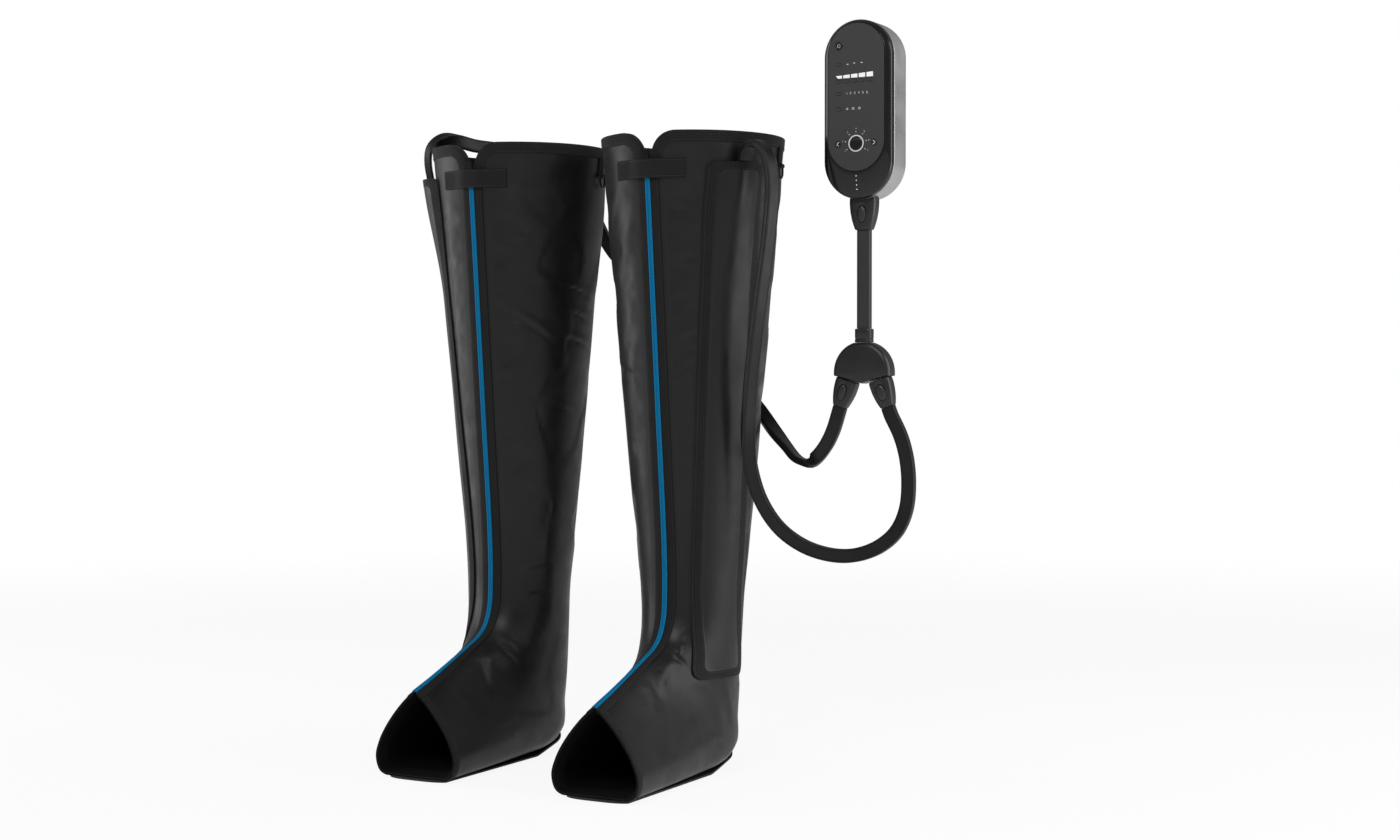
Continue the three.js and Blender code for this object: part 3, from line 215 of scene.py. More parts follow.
def section_point(share, half, square, length):
    turn = np.mod(share, 1)
    toe = smooth_line(TOE_OUTLINE, even_places(TOE_OUTLINE, turn, True), True)
    angle = turn * 2 * math.pi
    x = lerp(np.sin(angle), toe[..., 0], square) * half
    return points_of(x, lerp((1 + np.cos(angle)) / 2, np.maximum(toe[..., 1], 0), square) * length)


def boot_points(row, share, stand=0.0):
    """Points of the right boot, before it is set aside by half the spacing"""
    row, share, stand = np.broadcast_arrays(row, share, stand)
    t = np.clip(row / LAST_ROW, 0, 1)
    front, back, form = (smooth_line(line, t) for line in (FRONT_LINE, BACK_LINE, FORM_LINE))
    rise = front - back
    length = np.linalg.norm(rise, axis=-1)
    shape = form[..., 0], form[..., 1] / form[..., 0], length
    place, ahead, behind = (section_point(share + step, *shape) for step in (0, SHARE_STEP, -SHARE_STEP))
    tangent = unit(ahead - behind)
    middle = back + rise * ((place[..., 1] + tangent[..., 0] * stand) / length)[..., None]
    return points_of(place[..., 0] - tangent[..., 1] * stand, middle[..., 0], middle[..., 1])


def on_side(points, side):
    placed = points.copy()
    placed[..., 0] = (placed[..., 0] + BOOT_SPACING / 2) * side
    return placed


GIRTH_ROWS = np.linspace(0, LAST_ROW, 121)
girth_loops = boot_points(GIRTH_ROWS[:, None], np.linspace(0, 1, 33)[None, :])
GIRTHS = np.sum(np.linalg.norm(np.diff(girth_loops, axis=1), axis=-1), axis=1)


def girth(row):
    return np.interp(row, GIRTH_ROWS, GIRTHS)


def find_row(is_above, shape, low=0.0):
    above = np.full(shape, float(low))
    below = np.full(shape, float(LAST_ROW))
    for _ in range(24):
        middle = (above + below) / 2
        high = is_above(middle)
        above = np.where(high, middle, above)
        below = np.where(high, below, middle)
    return (above + below) / 2


def row_at(share, height):
    share, height = np.broadcast_arrays(share, height)
    return find_row(lambda row: boot_points(row, share)[..., 2] > height, share.shape)


def row_at_arc(arc, height):
    """Row and share of the point a given way round from the zip line, at a height"""
    arc, height = np.broadcast_arrays(arc, height)
    row = find_row(lambda test: boot_points(test, arc / girth(test))[..., 2] > height, arc.shape)
    return row, arc / girth(row)


def row_before_toe(share, length):
    share, length = np.broadcast_arrays(share, length)
    end = boot_points(np.full(share.shape, float(LAST_ROW)), share)
    far = lambda row: np.linalg.norm(boot_points(row, share) - end, axis=-1) > length
    return find_row(far, share.shape, LAST_ROW - 2)


def rim_height(share):
    from_slit = np.minimum(share, 1 - share) - SLIT_HALF_SHARE
    across = np.maximum(NOTCH_RADIUS - from_slit * 2 * math.pi * RIM_RADIUS, 0)
    return BOOT_HEIGHT - NOTCH_RADIUS + np.sqrt(np.maximum(NOTCH_RADIUS**2 - across**2, 0))


# Meshes
def new_object(name, points, faces, materials, slots=None, uvs=None, crease=35):
    """An object from points in millimetres. uvs has a pair for each point, in millimetres too."""
    mesh = bpy.data.meshes.new(name)
    mesh.from_pydata(metres(points).tolist(), [], [list(map(int, face)) for face in faces])
    for material in materials:
        mesh.materials.append(material)
    if slots is not None:
        mesh.polygons.foreach_set("material_index", np.asarray(slots, np.int32))
    if uvs is not None:
        corners = np.zeros(len(mesh.loops), np.int32)
        mesh.loops.foreach_get("vertex_index", corners)
        layer = mesh.uv_layers.new(name="surface")
        layer.data.foreach_set("uv", np.asarray(uvs, np.float32)[corners].ravel())
    mesh.polygons.foreach_set("use_smooth", np.ones(len(mesh.polygons), bool))
    mesh.set_sharp_from_angle(angle=math.radians(crease))
    mesh.update()
    piece = bpy.data.objects.new(name, mesh)
    bpy.context.scene.collection.objects.link(piece)
    return piece


def volume_of(points, faces):
    return sum(
        np.dot(points[face[0]], np.cross(points[face[k]], points[face[k + 1]]))
        for face in faces for k in range(1, len(face) - 1)
    )


def outward(points, faces, tested=None):
    """The faces, all turned over where they, or the tested ones among them, wind inwards"""
    if volume_of(points - points.mean(axis=0), tested or faces) < 0:
        return [face[::-1] for face in faces]
    return faces


def grid_quads(rows, columns, start=0, close=False):
    across = columns if close else columns - 1
    i, j = np.meshgrid(np.arange(rows - 1), np.arange(across), indexing="ij")
    k = (j + 1) % columns
    quads = np.stack([i * columns + j, i * columns + k, (i + 1) * columns + k, (i + 1) * columns + j], axis=-1)
    return (quads.reshape(-1, 4) + start).tolist()


def slab(name, outer, inner, materials, uv, slots=None):
    """A closed sheet between two grids of points, with the same uv on both"""
    rows, columns = outer.shape[:2]
    count = rows * columns
    points = np.concatenate([outer.reshape(-1, 3), inner.reshape(-1, 3)])
    front = grid_quads(rows, columns)
    back = [quad[::-1] for quad in grid_quads(rows, columns, count)]
    at = np.arange(count).reshape(rows, columns)
    loop = np.concatenate([at[0, :-1], at[:-1, -1], at[-1, :0:-1], at[:0:-1, 0]])
    rim = [[a, a + count, b + count, b] for a, b in zip(loop, np.roll(loop, -1))]
    faces = front + back + rim
    kinds = None
    if slots is not None:
        flat = np.asarray(slots).ravel().tolist()
        kinds = flat + flat + [0] * len(rim)
    uvs = np.concatenate([uv.reshape(-1, 2)] * 2)
    return new_object(name, points, outward(points, faces), materials, kinds, uvs)


def tube(name, rings, materials, uv=None, closed=False, crease=35):
    """A skin through rings of points, capped at both ends unless it closes on itself"""
    count, sides = rings.shape[:2]
    points = rings.reshape(-1, 3)
    faces = grid_quads(count, sides, close=True)
    last = (count - 1) * sides
    if closed:
        faces += [[last + j, last + (j + 1) % sides, (j + 1) % sides, j] for j in range(sides)]
    else:
        faces += [list(range(sides))[::-1], [last + j for j in range(sides)]]
    if uv is None:
        uv = points_of(np.arange(sides)[None], np.arange(count)[:, None])
    faces = outward(points, faces, [face for face in faces if len(face) == 4])
    return new_object(name, points, faces, materials, None, uv.reshape(-1, 2), crease)


def go_with(piece, node):
    """The piece moves with a CAD node's body"""
    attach(piece, frame["nodes"][node]["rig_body"])
    return piece


def stand_for(piece, node):
    """The piece takes the place of a CAD node"""
    go_with(piece, node)
    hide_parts(node)
    return piece


# Materials
SHADE_SIZE = 30
FOLD_SIZE = 1000 / 22


def add(tree, kind, inputs=None, **settings):
    made = tree.nodes.new(kind)
    for key, value in settings.items():
        setattr(made, key, value)
    for key, value in (inputs or {}).items():
        if isinstance(value, bpy.types.NodeSocket):
            tree.links.new(value, made.inputs[key])
        else:
            made.inputs[key].default_value = value
    return made


def math_node(tree, operation, *values):
    return add(tree, "ShaderNodeMath", dict(enumerate(values)), operation=operation).outputs[0]


def map_range(tree, value, low=0, high=1, first=0, last=1, **settings):
    inputs = {0: value, 1: low, 2: high, 3: first, 4: last}
    return add(tree, "ShaderNodeMapRange", inputs, **settings).outputs[0]


def mixed(tree, share, a, b):
    return add(tree, "ShaderNodeMix", {0: share, 6: a, 7: b}, data_type="RGBA").outputs[2]


def bumped(tree, height, strength, distance, below=None):
    """The normal over a relief whose distance is in millimetres, on top of another one"""
    inputs = {"Height": height, "Strength": strength, "Distance": distance * MM}
    if below:
        inputs["Normal"] = below
    return add(tree, "ShaderNodeBump", inputs).outputs[0]


def cleared_tree(owner):
    owner.use_nodes = True
    owner.node_tree.nodes.clear()
    return owner.node_tree


def put_out(tree, kind, shader):
    tree.links.new(shader.outputs[0], add(tree, kind).inputs[0])


def linear(color):
    """A colour written as six sRGB digits, in the values that the shader takes"""
    parts = [int(color[i:i + 2], 16) / 255 for i in (0, 2, 4)]
    return [c / 12.92 if c <= 0.04045 else ((c + 0.055) / 1.055) ** 2.4 for c in parts]


def tinted(color, factor):
    return [min(c * factor, 1) for c in color] + [1]


def uv_waves(tree, turn, *kinds):
    """Sine waves over the UV map: along its first or second side, or over their sum or difference"""
    split = add(tree, "ShaderNodeSeparateXYZ", {0: add(tree, "ShaderNodeUVMap").outputs[0]}).outputs
    values = [split[kind] if isinstance(kind, int) else math_node(tree, kind, split[0], split[1]) for kind in kinds]
    return [math_node(tree, "SINE", math_node(tree, "MULTIPLY", value, turn)) for value in values]


def pattern_mesh(tree, pitch):
    """Small holes in rows, as in knitted mesh: 0 on the threads, 1 in the holes"""
    waves = uv_waves(tree, math.pi / pitch, "ADD", "SUBTRACT")
    return map_range(tree, math_node(tree, "MULTIPLY", *waves), 0.1, 0.7, interpolation_type="SMOOTHSTEP")


def pattern_weave(tree, pitch):
    """Over and under of a plain weave"""
    return map_range(tree, math_node(tree, "MULTIPLY", *uv_waves(tree, 2 * math.pi / pitch, 0, 1)), -1, 1)


def pattern_ribs(tree, pitch):
    """Ribs across the length, as on a zip coil"""
    return map_range(tree, uv_waves(tree, 2 * math.pi / pitch, 1)[0], -1, 0.4)


def surface(
    name, color, roughness, metallic=0.0, shade=0.12, grain_size=0.8, grain_depth=0.05, rough_spread=0.08,
    coat=0.0, sheen=0.0, pattern=None, pitch=1.0, pattern_depth=0.2, pattern_shade=0.4, wear=0.0, folds=0.0,
    glow=0.0, specular=0.5,
):
    """A finish with colour and gloss that vary, a fine grain, and for fabrics a pattern"""
    material = bpy.data.materials.new(name)
    tree = cleared_tree(material)
    base = linear(color)
    place = add(tree, "ShaderNodeTexCoord").outputs["Object"]

    def noise(size, detail, **more):
        inputs = {"Vector": place, "Scale": 1 / (size * MM), "Detail": detail, **more}
        return add(tree, "ShaderNodeTexNoise", inputs).outputs[0]

    broad = noise(SHADE_SIZE, 3)
    shown = mixed(tree, broad, tinted(base, 1 - shade), tinted(base, 1 + shade))
    rough = map_range(tree, broad, 0.3, 0.7, roughness - rough_spread, roughness + rough_spread)
    normal = bumped(tree, noise(grain_size, 2), 0.6, grain_depth)
    if pattern:
        holes = pattern(tree, pitch)
        shown = mixed(tree, holes, shown, tinted(base, 1 - pattern_shade))
        normal = bumped(tree, math_node(tree, "MULTIPLY", holes, -1.0), 0.8, pattern_depth, normal)
    if folds:
        normal = bumped(tree, noise(FOLD_SIZE, 2, Distortion=0.6), 0.5, folds, normal)
    if wear:
        point = add(tree, "ShaderNodeNewGeometry").outputs["Pointiness"]
        shown = mixed(tree, map_range(tree, point, 0.52, 0.6, 0, wear), shown, tinted(base, 2.2))
    shader = add(tree, "ShaderNodeBsdfPrincipled", {
        "Base Color": shown, "Roughness": rough, "Normal": normal, "Metallic": metallic,
        "Specular IOR Level": specular, "Coat Weight": coat, "Coat Roughness": 0.04,
        "Sheen Weight": sheen, "Sheen Roughness": 0.5,
    })
    if glow:
        shader.inputs["Emission Color"].default_value = tinted(base, 1)
        shader.inputs["Emission Strength"].default_value = glow
    put_out(tree, "ShaderNodeOutputMaterial", shader)
    return material


FABRIC = surface(
    "laminated_fabric", "151516", 0.4, shade=0.08, grain_size=0.7, folds=1.2, sheen=0.04, specular=0.3,
)
MESH = surface(
    "knitted_mesh", "202021", 0.75, pattern=pattern_mesh, pitch=3.2, pattern_shade=0.75, pattern_depth=0.3, sheen=0.05,
    specular=0.15,
)
WEBBING = surface("webbing", "1e1e1f", 0.75, pattern=pattern_weave, pitch=2.2, pattern_depth=0.3, specular=0.2)
LINING = surface(
    "lining_nylon", "080808", 0.85, pattern=pattern_weave, pitch=1.4, pattern_depth=0.08, folds=1.0, specular=0.15,
)
SOLE = surface("sole_rubber", "151515", 0.68, grain_size=2.0, grain_depth=0.2, wear=0.3)
ZIP_BLUE = surface("blue_nylon_coil", "007db2", 0.6, specular=0.1, pattern=pattern_ribs, pitch=1.8, pattern_shade=0.35)
THREAD = surface("thread", "1b1b1c", 0.6, grain_size=0.3)
METAL = surface("black_metal", "1c1c1c", 0.32, metallic=0.9, wear=0.5, grain_size=0.4)
# One hose rubber in two copies: a darker one, painted shade, for the hoses along the boots, and a lighter one, painted
# light, for the trunk
SHADED_HOSE = surface("hose_rubber_painted_shade", "1b1b1c", 0.36, specular=0.25, grain_size=0.6, grain_depth=0.04)
LIT_HOSE = surface("hose_rubber_painted_light", "383838", 0.45, specular=0.25, grain_size=0.6, grain_depth=0.04)
PLUG = surface("moulded_plastic", "1a1a1a", 0.4, grain_size=0.5, grain_depth=0.05, wear=0.25)
GLOSS = surface(
    "gloss_black", "0e0e0f", 0.2, coat=0.2, specular=0.4, rough_spread=0.03, grain_size=4, grain_depth=0.02,
)
GREY = surface("metallic_paint", "b4b4b4", 0.32, metallic=0.75, shade=0.05, grain_size=3, grain_depth=0.02)
PANEL = surface("matte_panel", "323232", 0.55, shade=0.04, grain_size=0.4, grain_depth=0.03)
BUTTON = surface("button_plastic", "262626", 0.36, grain_size=0.5, grain_depth=0.02, wear=0.3)
GLOSS_BUTTON = surface("gloss_button", "0c0c0d", 0.14, coat=0.3, grain_size=2, grain_depth=0.01, wear=0.2)
PANEL_BUTTON = surface("panel_button", "2d2d2e", 0.5, grain_size=0.4, grain_depth=0.03, wear=0.2)
WHITE = surface("white_light", "f0f0f0", 0.4, shade=0.03, glow=0.25)
RING_WHITE = surface("white_ring", "e0e0e0", 0.45, shade=0.03, glow=0.05)
PRINT = surface("white_print", "e4e4e4", 0.5, shade=0.03)
BOARD = surface("board_green", "1d4a2c", 0.5, grain_size=1.5)
BATTERY = surface("battery_wrap", "2456a0", 0.45)
CAST = surface("cast_metal", "9a9da0", 0.45, metallic=0.8, grain_size=0.7, grain_depth=0.1, wear=0.4)
STEEL = surface("motor_steel", "b0b2b4", 0.3, metallic=1.0, grain_size=0.3)
MANIFOLD = surface("manifold_plastic", "d8d8d2", 0.5)

KEPT_NODES = {
    "main_board": BOARD, "battery_pack": BATTERY, "air_compressor": CAST, "compressor_motor": STEEL,
    "valve_manifold": MANIFOLD, "outlet_socket": BUTTON, "charge_socket": BUTTON, "chamber_light_guide": WHITE,
    "right_zip_slider": METAL, "left_zip_slider": METAL,
    "right_ring_tab": WEBBING, "left_ring_tab": WEBBING,
}
for node, kept_material in KEPT_NODES.items():
    data = frame["nodes"][node].data
    data.materials.clear()
    data.materials.append(kept_material)


# Hoses: flat, with rounded edges and two shallow grooves along each face
HOSE_WIDTH = 17.5
HOSE_THICKNESS = 9
HOSE_CORNER = 1.7
GROOVE_PLACE = 6.6
GROOVE_DEPTH = 0.45
PUMP_X = 380.5
STRAIGHT_END = 8
HOSE_EASE_PASSES = 5

RIGHT_ROUTE = [
    [430, 0, 440], [438, 0, 413], [441, 0, 382], [438, -1, 348], [425, -3, 320], [398, -6, 299],
    [359, -10, 289], [312, -16, 297], [275, -22, 320], [253, -29, 352], [243, -37, 387], [241, -45, 427],
    [247, -54, 483], [258, -62, 546], [270, -68, 608], [281, -71, 669], [288, -73, 718], [290, -74, 753],
    [285, -73, 781], [274.4, -69.2, 798], [260.8, -65.9, 804], [248.1, -63.2, 796], [241.2, -59.6, 776],
    [237.6, -57.5, 749],
]
LEFT_ROUTE = [
    [336, 2, 443], [321, 6, 421], [300, 14, 405], [276, 26, 406], [251, 42, 422], [222, 61, 443],
    [190, 80, 470], [145, 102, 503], [78, 121, 552], [5, 135, 613], [-49, 145, 660], [-88, 151, 697],
    [-112, 150, 740], [-134, 146, 782], [-153, 137, 812], [-167, 123, 828], [-178, 107, 834],
    [-191, 84, 832], [-202, 58, 831.5], [-211, 30, 832], [-219, 5, 833], [-229, -19, 838], [-239.9, -39.8, 838],
    [-247.5, -55.1, 826], [-246.4, -60.6, 803], [-241.2, -59.6, 776], [-237.6, -57.5, 749],
]
RIGHT_GUIDES = [
    [0, (1, 0, 0)], [0.12, (1, 0, 0)], [0.3, (0, 0, -1)], [0.42, (-1, 0, -0.6)],
    [0.56, (-0.44, -0.9, 0)], [1, (-0.44, -0.9, 0)],
]
LEFT_GUIDES = [
    [0, (1, 0, 0)], [0.05, (1, 0, 0)], [0.13, (0, -1, 0)], [0.22, (-0.5, -0.6, -0.5)],
    [0.32, (0, 0, -1)], [0.86, (0, 0, -1)], [0.94, (-0.51, 0.86, 0)], [1, (-0.51, 0.86, 0)],
]

# Plugs, collar and splitter on the hoses
PUMP_BOTTOM = 732
CLEARANCE = 0.3
PUMP_PLUG_LENGTH = 37
BRANCH_PLUG_LENGTH = 35
BRANCH_PLUG_HALF_WIDTH = 14
SPLITTER_HALF_WIDTH = 38.5
SPLITTER_HALF_DEPTH = 12
SPLITTER_BOTTOM = 504
SPLITTER_SHOULDER = 10
SPLITTER_SIDE = 4
SPLITTER_ROUNDING = 6
COLLAR = (22, 14, 17)
BRANCH_ANGLE = math.radians(18)
BRANCH_SEAT_X = 22

splitter_seat = math.asin((COLLAR[0] / 2 + CLEARANCE) / SPLITTER_HALF_WIDTH)
splitter_middle = SPLITTER_BOTTOM + SPLITTER_SHOULDER + SPLITTER_SIDE
collar_bottom = splitter_middle + SPLITTER_HALF_WIDTH * math.cos(splitter_seat) + CLEARANCE
seat_slope = SPLITTER_SHOULDER / SPLITTER_HALF_WIDTH
branch_drop = CLEARANCE + BRANCH_PLUG_HALF_WIDTH * (math.tan(BRANCH_ANGLE) - seat_slope)
branch_height = SPLITTER_BOTTOM + BRANCH_SEAT_X * seat_slope - branch_drop
plug_top = PUMP_BOTTOM - CLEARANCE


def hose_section():
    """Width and thickness round the section, first the half from a front corner round to the back"""
    wide, thick, corner = HOSE_WIDTH / 2, HOSE_THICKNESS / 2, HOSE_CORNER
    half = [(corner - wide, thick)]
    for centre in (-GROOVE_PLACE, GROOVE_PLACE):
        half += [(centre + offset, thick - depth * GROOVE_DEPTH)
                 for offset, depth in ((-0.7, 0), (-0.25, 1), (0.25, 1), (0.7, 0))]
    half.append((wide - corner, thick))
    angles = np.linspace(0, math.pi / 2, 6)
    half += [(wide - corner * (1 - math.sin(a)), thick - corner * (1 - math.cos(a))) for a in angles[1:]]
    half += [(wide - corner * (1 - math.cos(a)), corner * (1 - math.sin(a)) - thick) for a in angles[:-1]]
    return np.array(half + [(-x, -y) for x, y in half])


def guide_at(guides, share):
    places = [place for place, _ in guides]
    k = max(int(np.searchsorted(places, share)), 1)
    blend = smoothstep(share, places[k - 1], places[k])
    return lerp(np.array(guides[k - 1][1], float), np.array(guides[k][1], float), blend)


def hose_frames(points, guides, steps):
    shares = np.linspace(0, 1, steps + 1)
    line = eased(smooth_line(points, even_places(points, shares)), HOSE_EASE_PASSES)
    tangents = unit(np.gradient(line, axis=0))
    widths = np.array([guide_at(guides, share) for share in shares])
    widths = unit(widths - np.sum(widths * tangents, axis=1, keepdims=True) * tangents)
    return line, widths, np.cross(tangents, widths)


# Hoses take the darker copy of the rubber, painted shade, unless told otherwise
def add_hose(name, points, guides, steps, material=SHADED_HOSE):
    line, widths, depths = hose_frames(points, guides, steps)
    section = hose_section()
    rings = line[:, None] + widths[:, None] * section[None, :, :1] + depths[:, None] * section[None, :, 1:]
    lengths = lengths_along(line)
    uv = np.stack(np.meshgrid(lengths_along(section), lengths), axis=-1)
    piece = stand_for(tube(f"{name}_skin", rings, [material], uv), name)


# Splitter, collar and plugs: where each one sits, as a place and a turn about Y
def seated(points, place, turn=0.0):
    x, y, z = points[..., 0], points[..., 1], points[..., 2]
    sin, cos = math.sin(turn), math.cos(turn)
    return points_of(x * cos + z * sin, y, z * cos - x * sin) + np.array(place, float)


def rounded_square(count, power):
    """X and Y round a square with rounded corners, each from -1 to 1"""
    angle = (np.arange(count) + 0.5) / count * 2 * math.pi
    return [np.sign(part) * np.abs(part) ** power for part in (np.cos(angle), np.sin(angle))]


PLUG_DROP_SHARES = [0, 0.14, 0.42, 0.7, 0.9, 1]
PLUG_WIDTH_SHARES = [1, 1.03, 0.98, 0.85, 0.7, 0.62]
PLUG_DEPTH_SHARES = [1, 1, 0.98, 0.9, 0.8, 0.72]
PLUG_SQUARENESS = 0.45
PLUG_HALF_DEPTH = 10
PUMP_PLUG_HALF_WIDTH = 17.5
RELEASE_HALF_WIDTH = 5.6
RELEASE_HALF_HEIGHT = 10.5
RELEASE_PROUD = 1.2
RELEASE_DEPTH = 2.8
RELEASE_POCKET = 4.5
RELEASE_CENTRE_SHARE = 0.47


def cut_away(piece, tools):
    """Cuts the tools out of a piece and removes them"""
    for tool in tools:
        cutter = piece.modifiers.new("cut", "BOOLEAN")
        cutter.operation = "DIFFERENCE"
        cutter.solver = "EXACT"
        cutter.object = tool
    bpy.context.view_layer.update()
    graph = bpy.context.evaluated_depsgraph_get()
    mesh = bpy.data.meshes.new_from_object(piece.evaluated_get(graph))
    piece.modifiers.clear()
    piece.data = mesh
    mesh.set_sharp_from_angle(angle=math.radians(32))
    for tool in tools:
        bpy.data.objects.remove(tool)
    return piece


def oval_rings(half_width, half_height, profile, sides=48):
    """Rings of an oval whose axis is Y: each profile point is a share of the half sizes and a depth"""
    share, depth = np.array(profile, float).T[..., None]
    share = np.maximum(share, 0.002)
    angle = np.linspace(0, 2 * math.pi, sides, endpoint=False)
    return points_of(share * half_width * np.cos(angle), depth, share * half_height * np.sin(angle))


SPIGOT = (19, 9)
SPIGOT_PROFILE = [
    (1, -1), (0, -0.3), (0, 8.5), (0.7, 8.9), (0.7, 10.6), (0, 11), (0, 16.2), (0.4, 16.8), (0.9, 17), (1.5, 16.7),
    (1.8, 16), (1.8, 6),
]


def add_spigot(name, place):
    """The nozzle that goes into the pump: open at its end, with a groove for a seal"""
    across, through = rounded_square(48, 0.35)
    inset, z = np.array(SPIGOT_PROFILE, float).T[..., None]
    rings = points_of(across * (SPIGOT[0] / 2 - inset), through * (SPIGOT[1] / 2 - inset), z)
    return go_with(tube(f"{name}_spigot", seated(rings, place), [PLUG], crease=40), name)


def add_plug(name, half_width, length, place, turn, in_pump=False):
    drop = np.linspace(0, 1, 26)
    wide, deep = (eased(np.interp(drop, PLUG_DROP_SHARES, shares))[:, None]
                  for shares in (PLUG_WIDTH_SHARES, PLUG_DEPTH_SHARES))
    across, through = rounded_square(56, PLUG_SQUARENESS)
    x = across * half_width * wide
    drop = drop[:, None]
    end = 0
    if in_pump:
        radius = PUMP_WIDTH / 2 + CLEARANCE
        end = radius - np.sqrt(np.maximum(radius**2 - x**2, 0))
    rings = points_of(x, through * PLUG_HALF_DEPTH * deep, end * (1 - drop) - drop * length)
    mouth = lerp(rings[:1], rings[:1].mean(axis=1, keepdims=True), 0.04)
    tail = lerp(rings[-1:], rings[-1:].mean(axis=1, keepdims=True), 0.1)
    rings[0, :, 2] -= 0.5
    rings[-1, :, 2] += 0.8
    grip = tube(f"{name}_grip", seated(np.concatenate([mouth, rings, tail]), place, turn), [PLUG], crease=50)

    def release(piece_name, profile, material):
        """An oval on the plug's front, with depths counted from its face"""
        rings = oval_rings(RELEASE_HALF_WIDTH, RELEASE_HALF_HEIGHT, profile)
        rings += [0, -PLUG_HALF_DEPTH, -RELEASE_CENTRE_SHARE * length]
        return tube(piece_name, seated(rings, place, turn), [material])

    hollow = [(0, -4), (1.32, -4), (1.32, 0), (1.06, 1.1), (1.06, RELEASE_POCKET), (0, RELEASE_POCKET)]
    cut_away(grip, [release("tool", hollow, PLUG)])
    dome = [(0, -1), (0.3, -0.97), (0.55, -0.88), (0.74, -0.68), (0.88, -0.35), (0.96, 0.05), (1, 0.5)]
    dome = [(share, rise * RELEASE_PROUD) for share, rise in dome] + [(1, RELEASE_DEPTH), (0, RELEASE_DEPTH)]
    button = release(f"{name}_release_cap", dome, BUTTON)
    pieces = [stand_for(grip, name), stand_for(button, f"{name}_release")]
    return pieces + ([add_spigot(name, place)] if in_pump else [])


def splitter_outline(inset, steps=20):
    shrink = (SPLITTER_HALF_WIDTH - inset) / SPLITTER_HALF_WIDTH
    angles = np.linspace(0, math.pi / 2 - splitter_seat, steps)
    right = [[SPLITTER_HALF_WIDTH, SPLITTER_BOTTOM + SPLITTER_SHOULDER]]
    right += [[SPLITTER_HALF_WIDTH * math.cos(a), splitter_middle + SPLITTER_HALF_WIDTH * math.sin(a)] for a in angles]
    outline = np.array([[0, SPLITTER_BOTTOM]] + right + [[-x, z] for x, z in right[::-1]])
    return (outline - [0, splitter_middle]) * shrink + [0, splitter_middle]


def add_splitter_half(name, direction):
    bend = SPLITTER_ROUNDING
    profile = [(bend * (1 - math.cos(turn)), SPLITTER_HALF_DEPTH - bend * (1 - math.sin(turn)))
               for turn in np.linspace(math.pi / 2, 0, 9)]
    profile += [(0, CLEARANCE / 2 + 0.5), (0.5, CLEARANCE / 2)]
    rings = [[[x, direction * depth, z] for x, z in splitter_outline(inset)] for inset, depth in profile]
    piece = tube(f"{name}_moulding", seated(np.array(rings), (PUMP_X, 0, 0)), [PLUG], crease=38)
    return stand_for(piece, name)


def add_collar():
    width, depth, height = COLLAR
    across, through = rounded_square(48, 0.4)
    share, z = np.array([
        (0.55, 0), (0.97, 0), (1, 0.5), (1, 4), (0.965, 4.4), (0.965, 5.4), (1, 5.8), (1, height - 1),
        (0.95, height), (0.55, height),
    ]).T[..., None]
    rings = points_of(across * width / 2 * share, through * depth / 2 * share, collar_bottom + z)
    piece = tube("splitter_collar_moulding", seated(rings, (PUMP_X, 0, 0)), [PLUG])
    return stand_for(piece, "splitter_collar")


# Pump: housing and panel
PUMP_WIDTH = 92
PUMP_FRONT = -25
PUMP_TOP = 953
PUMP_DEPTH = 54
PUMP_WALL = 2.2
BEVEL_DEPTH = 9.7
SEAM_DEPTH = 13
BACK_INSET = 5
BACK_ROUNDING = 14
PANEL_WIDTH = 76
PANEL_TOP = PUMP_TOP - 5
PANEL_BOTTOM = PUMP_BOTTOM + 34
PANEL_THICKNESS = 2
LEDGE_WIDTH = 2
LEDGE_DEPTH = 5.2
ARC_STEPS = 48
BEVEL_DROP = 5.6
BEVEL_BEND = 1.5
SOCKET_CUT = 8
CHARGE_CUT = 4.9


def pill_ring(half_width, bottom, top, depth):
    angle = np.linspace(0, math.pi, ARC_STEPS + 1)
    half = [points_of(PUMP_X + half_width * np.cos(start + angle), PUMP_FRONT + depth,
                      centre + half_width * np.sin(start + angle))
            for centre, start in ((top - half_width, 0), (bottom + half_width, math.pi))]
    return np.concatenate(half)


def housing_ring(inset, depth):
    return pill_ring(PUMP_WIDTH / 2 - inset, PUMP_BOTTOM + inset, PUMP_TOP - inset, depth)


def panel_ring(growth, depth):
    return pill_ring(PANEL_WIDTH / 2 + growth, PANEL_BOTTOM - growth, PANEL_TOP + growth, depth)


def add_front_shell():
    pocket = PANEL_THICKNESS + CLEARANCE
    inner, outer = panel_ring(CLEARANCE, 0), housing_ring(0, 0)
    rings = [panel_ring(CLEARANCE, 0.5), panel_ring(CLEARANCE + 0.4, 0.06)]
    turns = np.linspace(0.15, 1, 8) * math.pi / 2
    slope = [(share, lerp(0.0, BEVEL_DROP, share**BEVEL_BEND)) for share in np.linspace(0.08, 0.9, 12)]
    slope += [(lerp(0.9, 1, math.sin(turn)), 4.9 + 5.1 * (1 - math.cos(turn))) for turn in turns]
    for share, depth in slope:
        ring = lerp(inner, outer, share)
        ring[:, 1] = PUMP_FRONT + depth
        rings.append(ring)
    rings += [housing_ring(inset, depth) for inset, depth in (
        (0, SEAM_DEPTH - 0.4), (0.3, SEAM_DEPTH), (PUMP_WALL, SEAM_DEPTH), (PUMP_WALL, BEVEL_DEPTH + CLEARANCE))]
    rings += [panel_ring(growth, depth) for growth, depth in (
        (LEDGE_WIDTH * 0.75, LEDGE_DEPTH + 0.6), (-LEDGE_WIDTH, LEDGE_DEPTH), (-LEDGE_WIDTH, pocket),
        (CLEARANCE, pocket))]
    piece = tube("front_shell_moulding", np.array(rings), [GLOSS], closed=True, crease=30)
    return stand_for(piece, "front_shell")


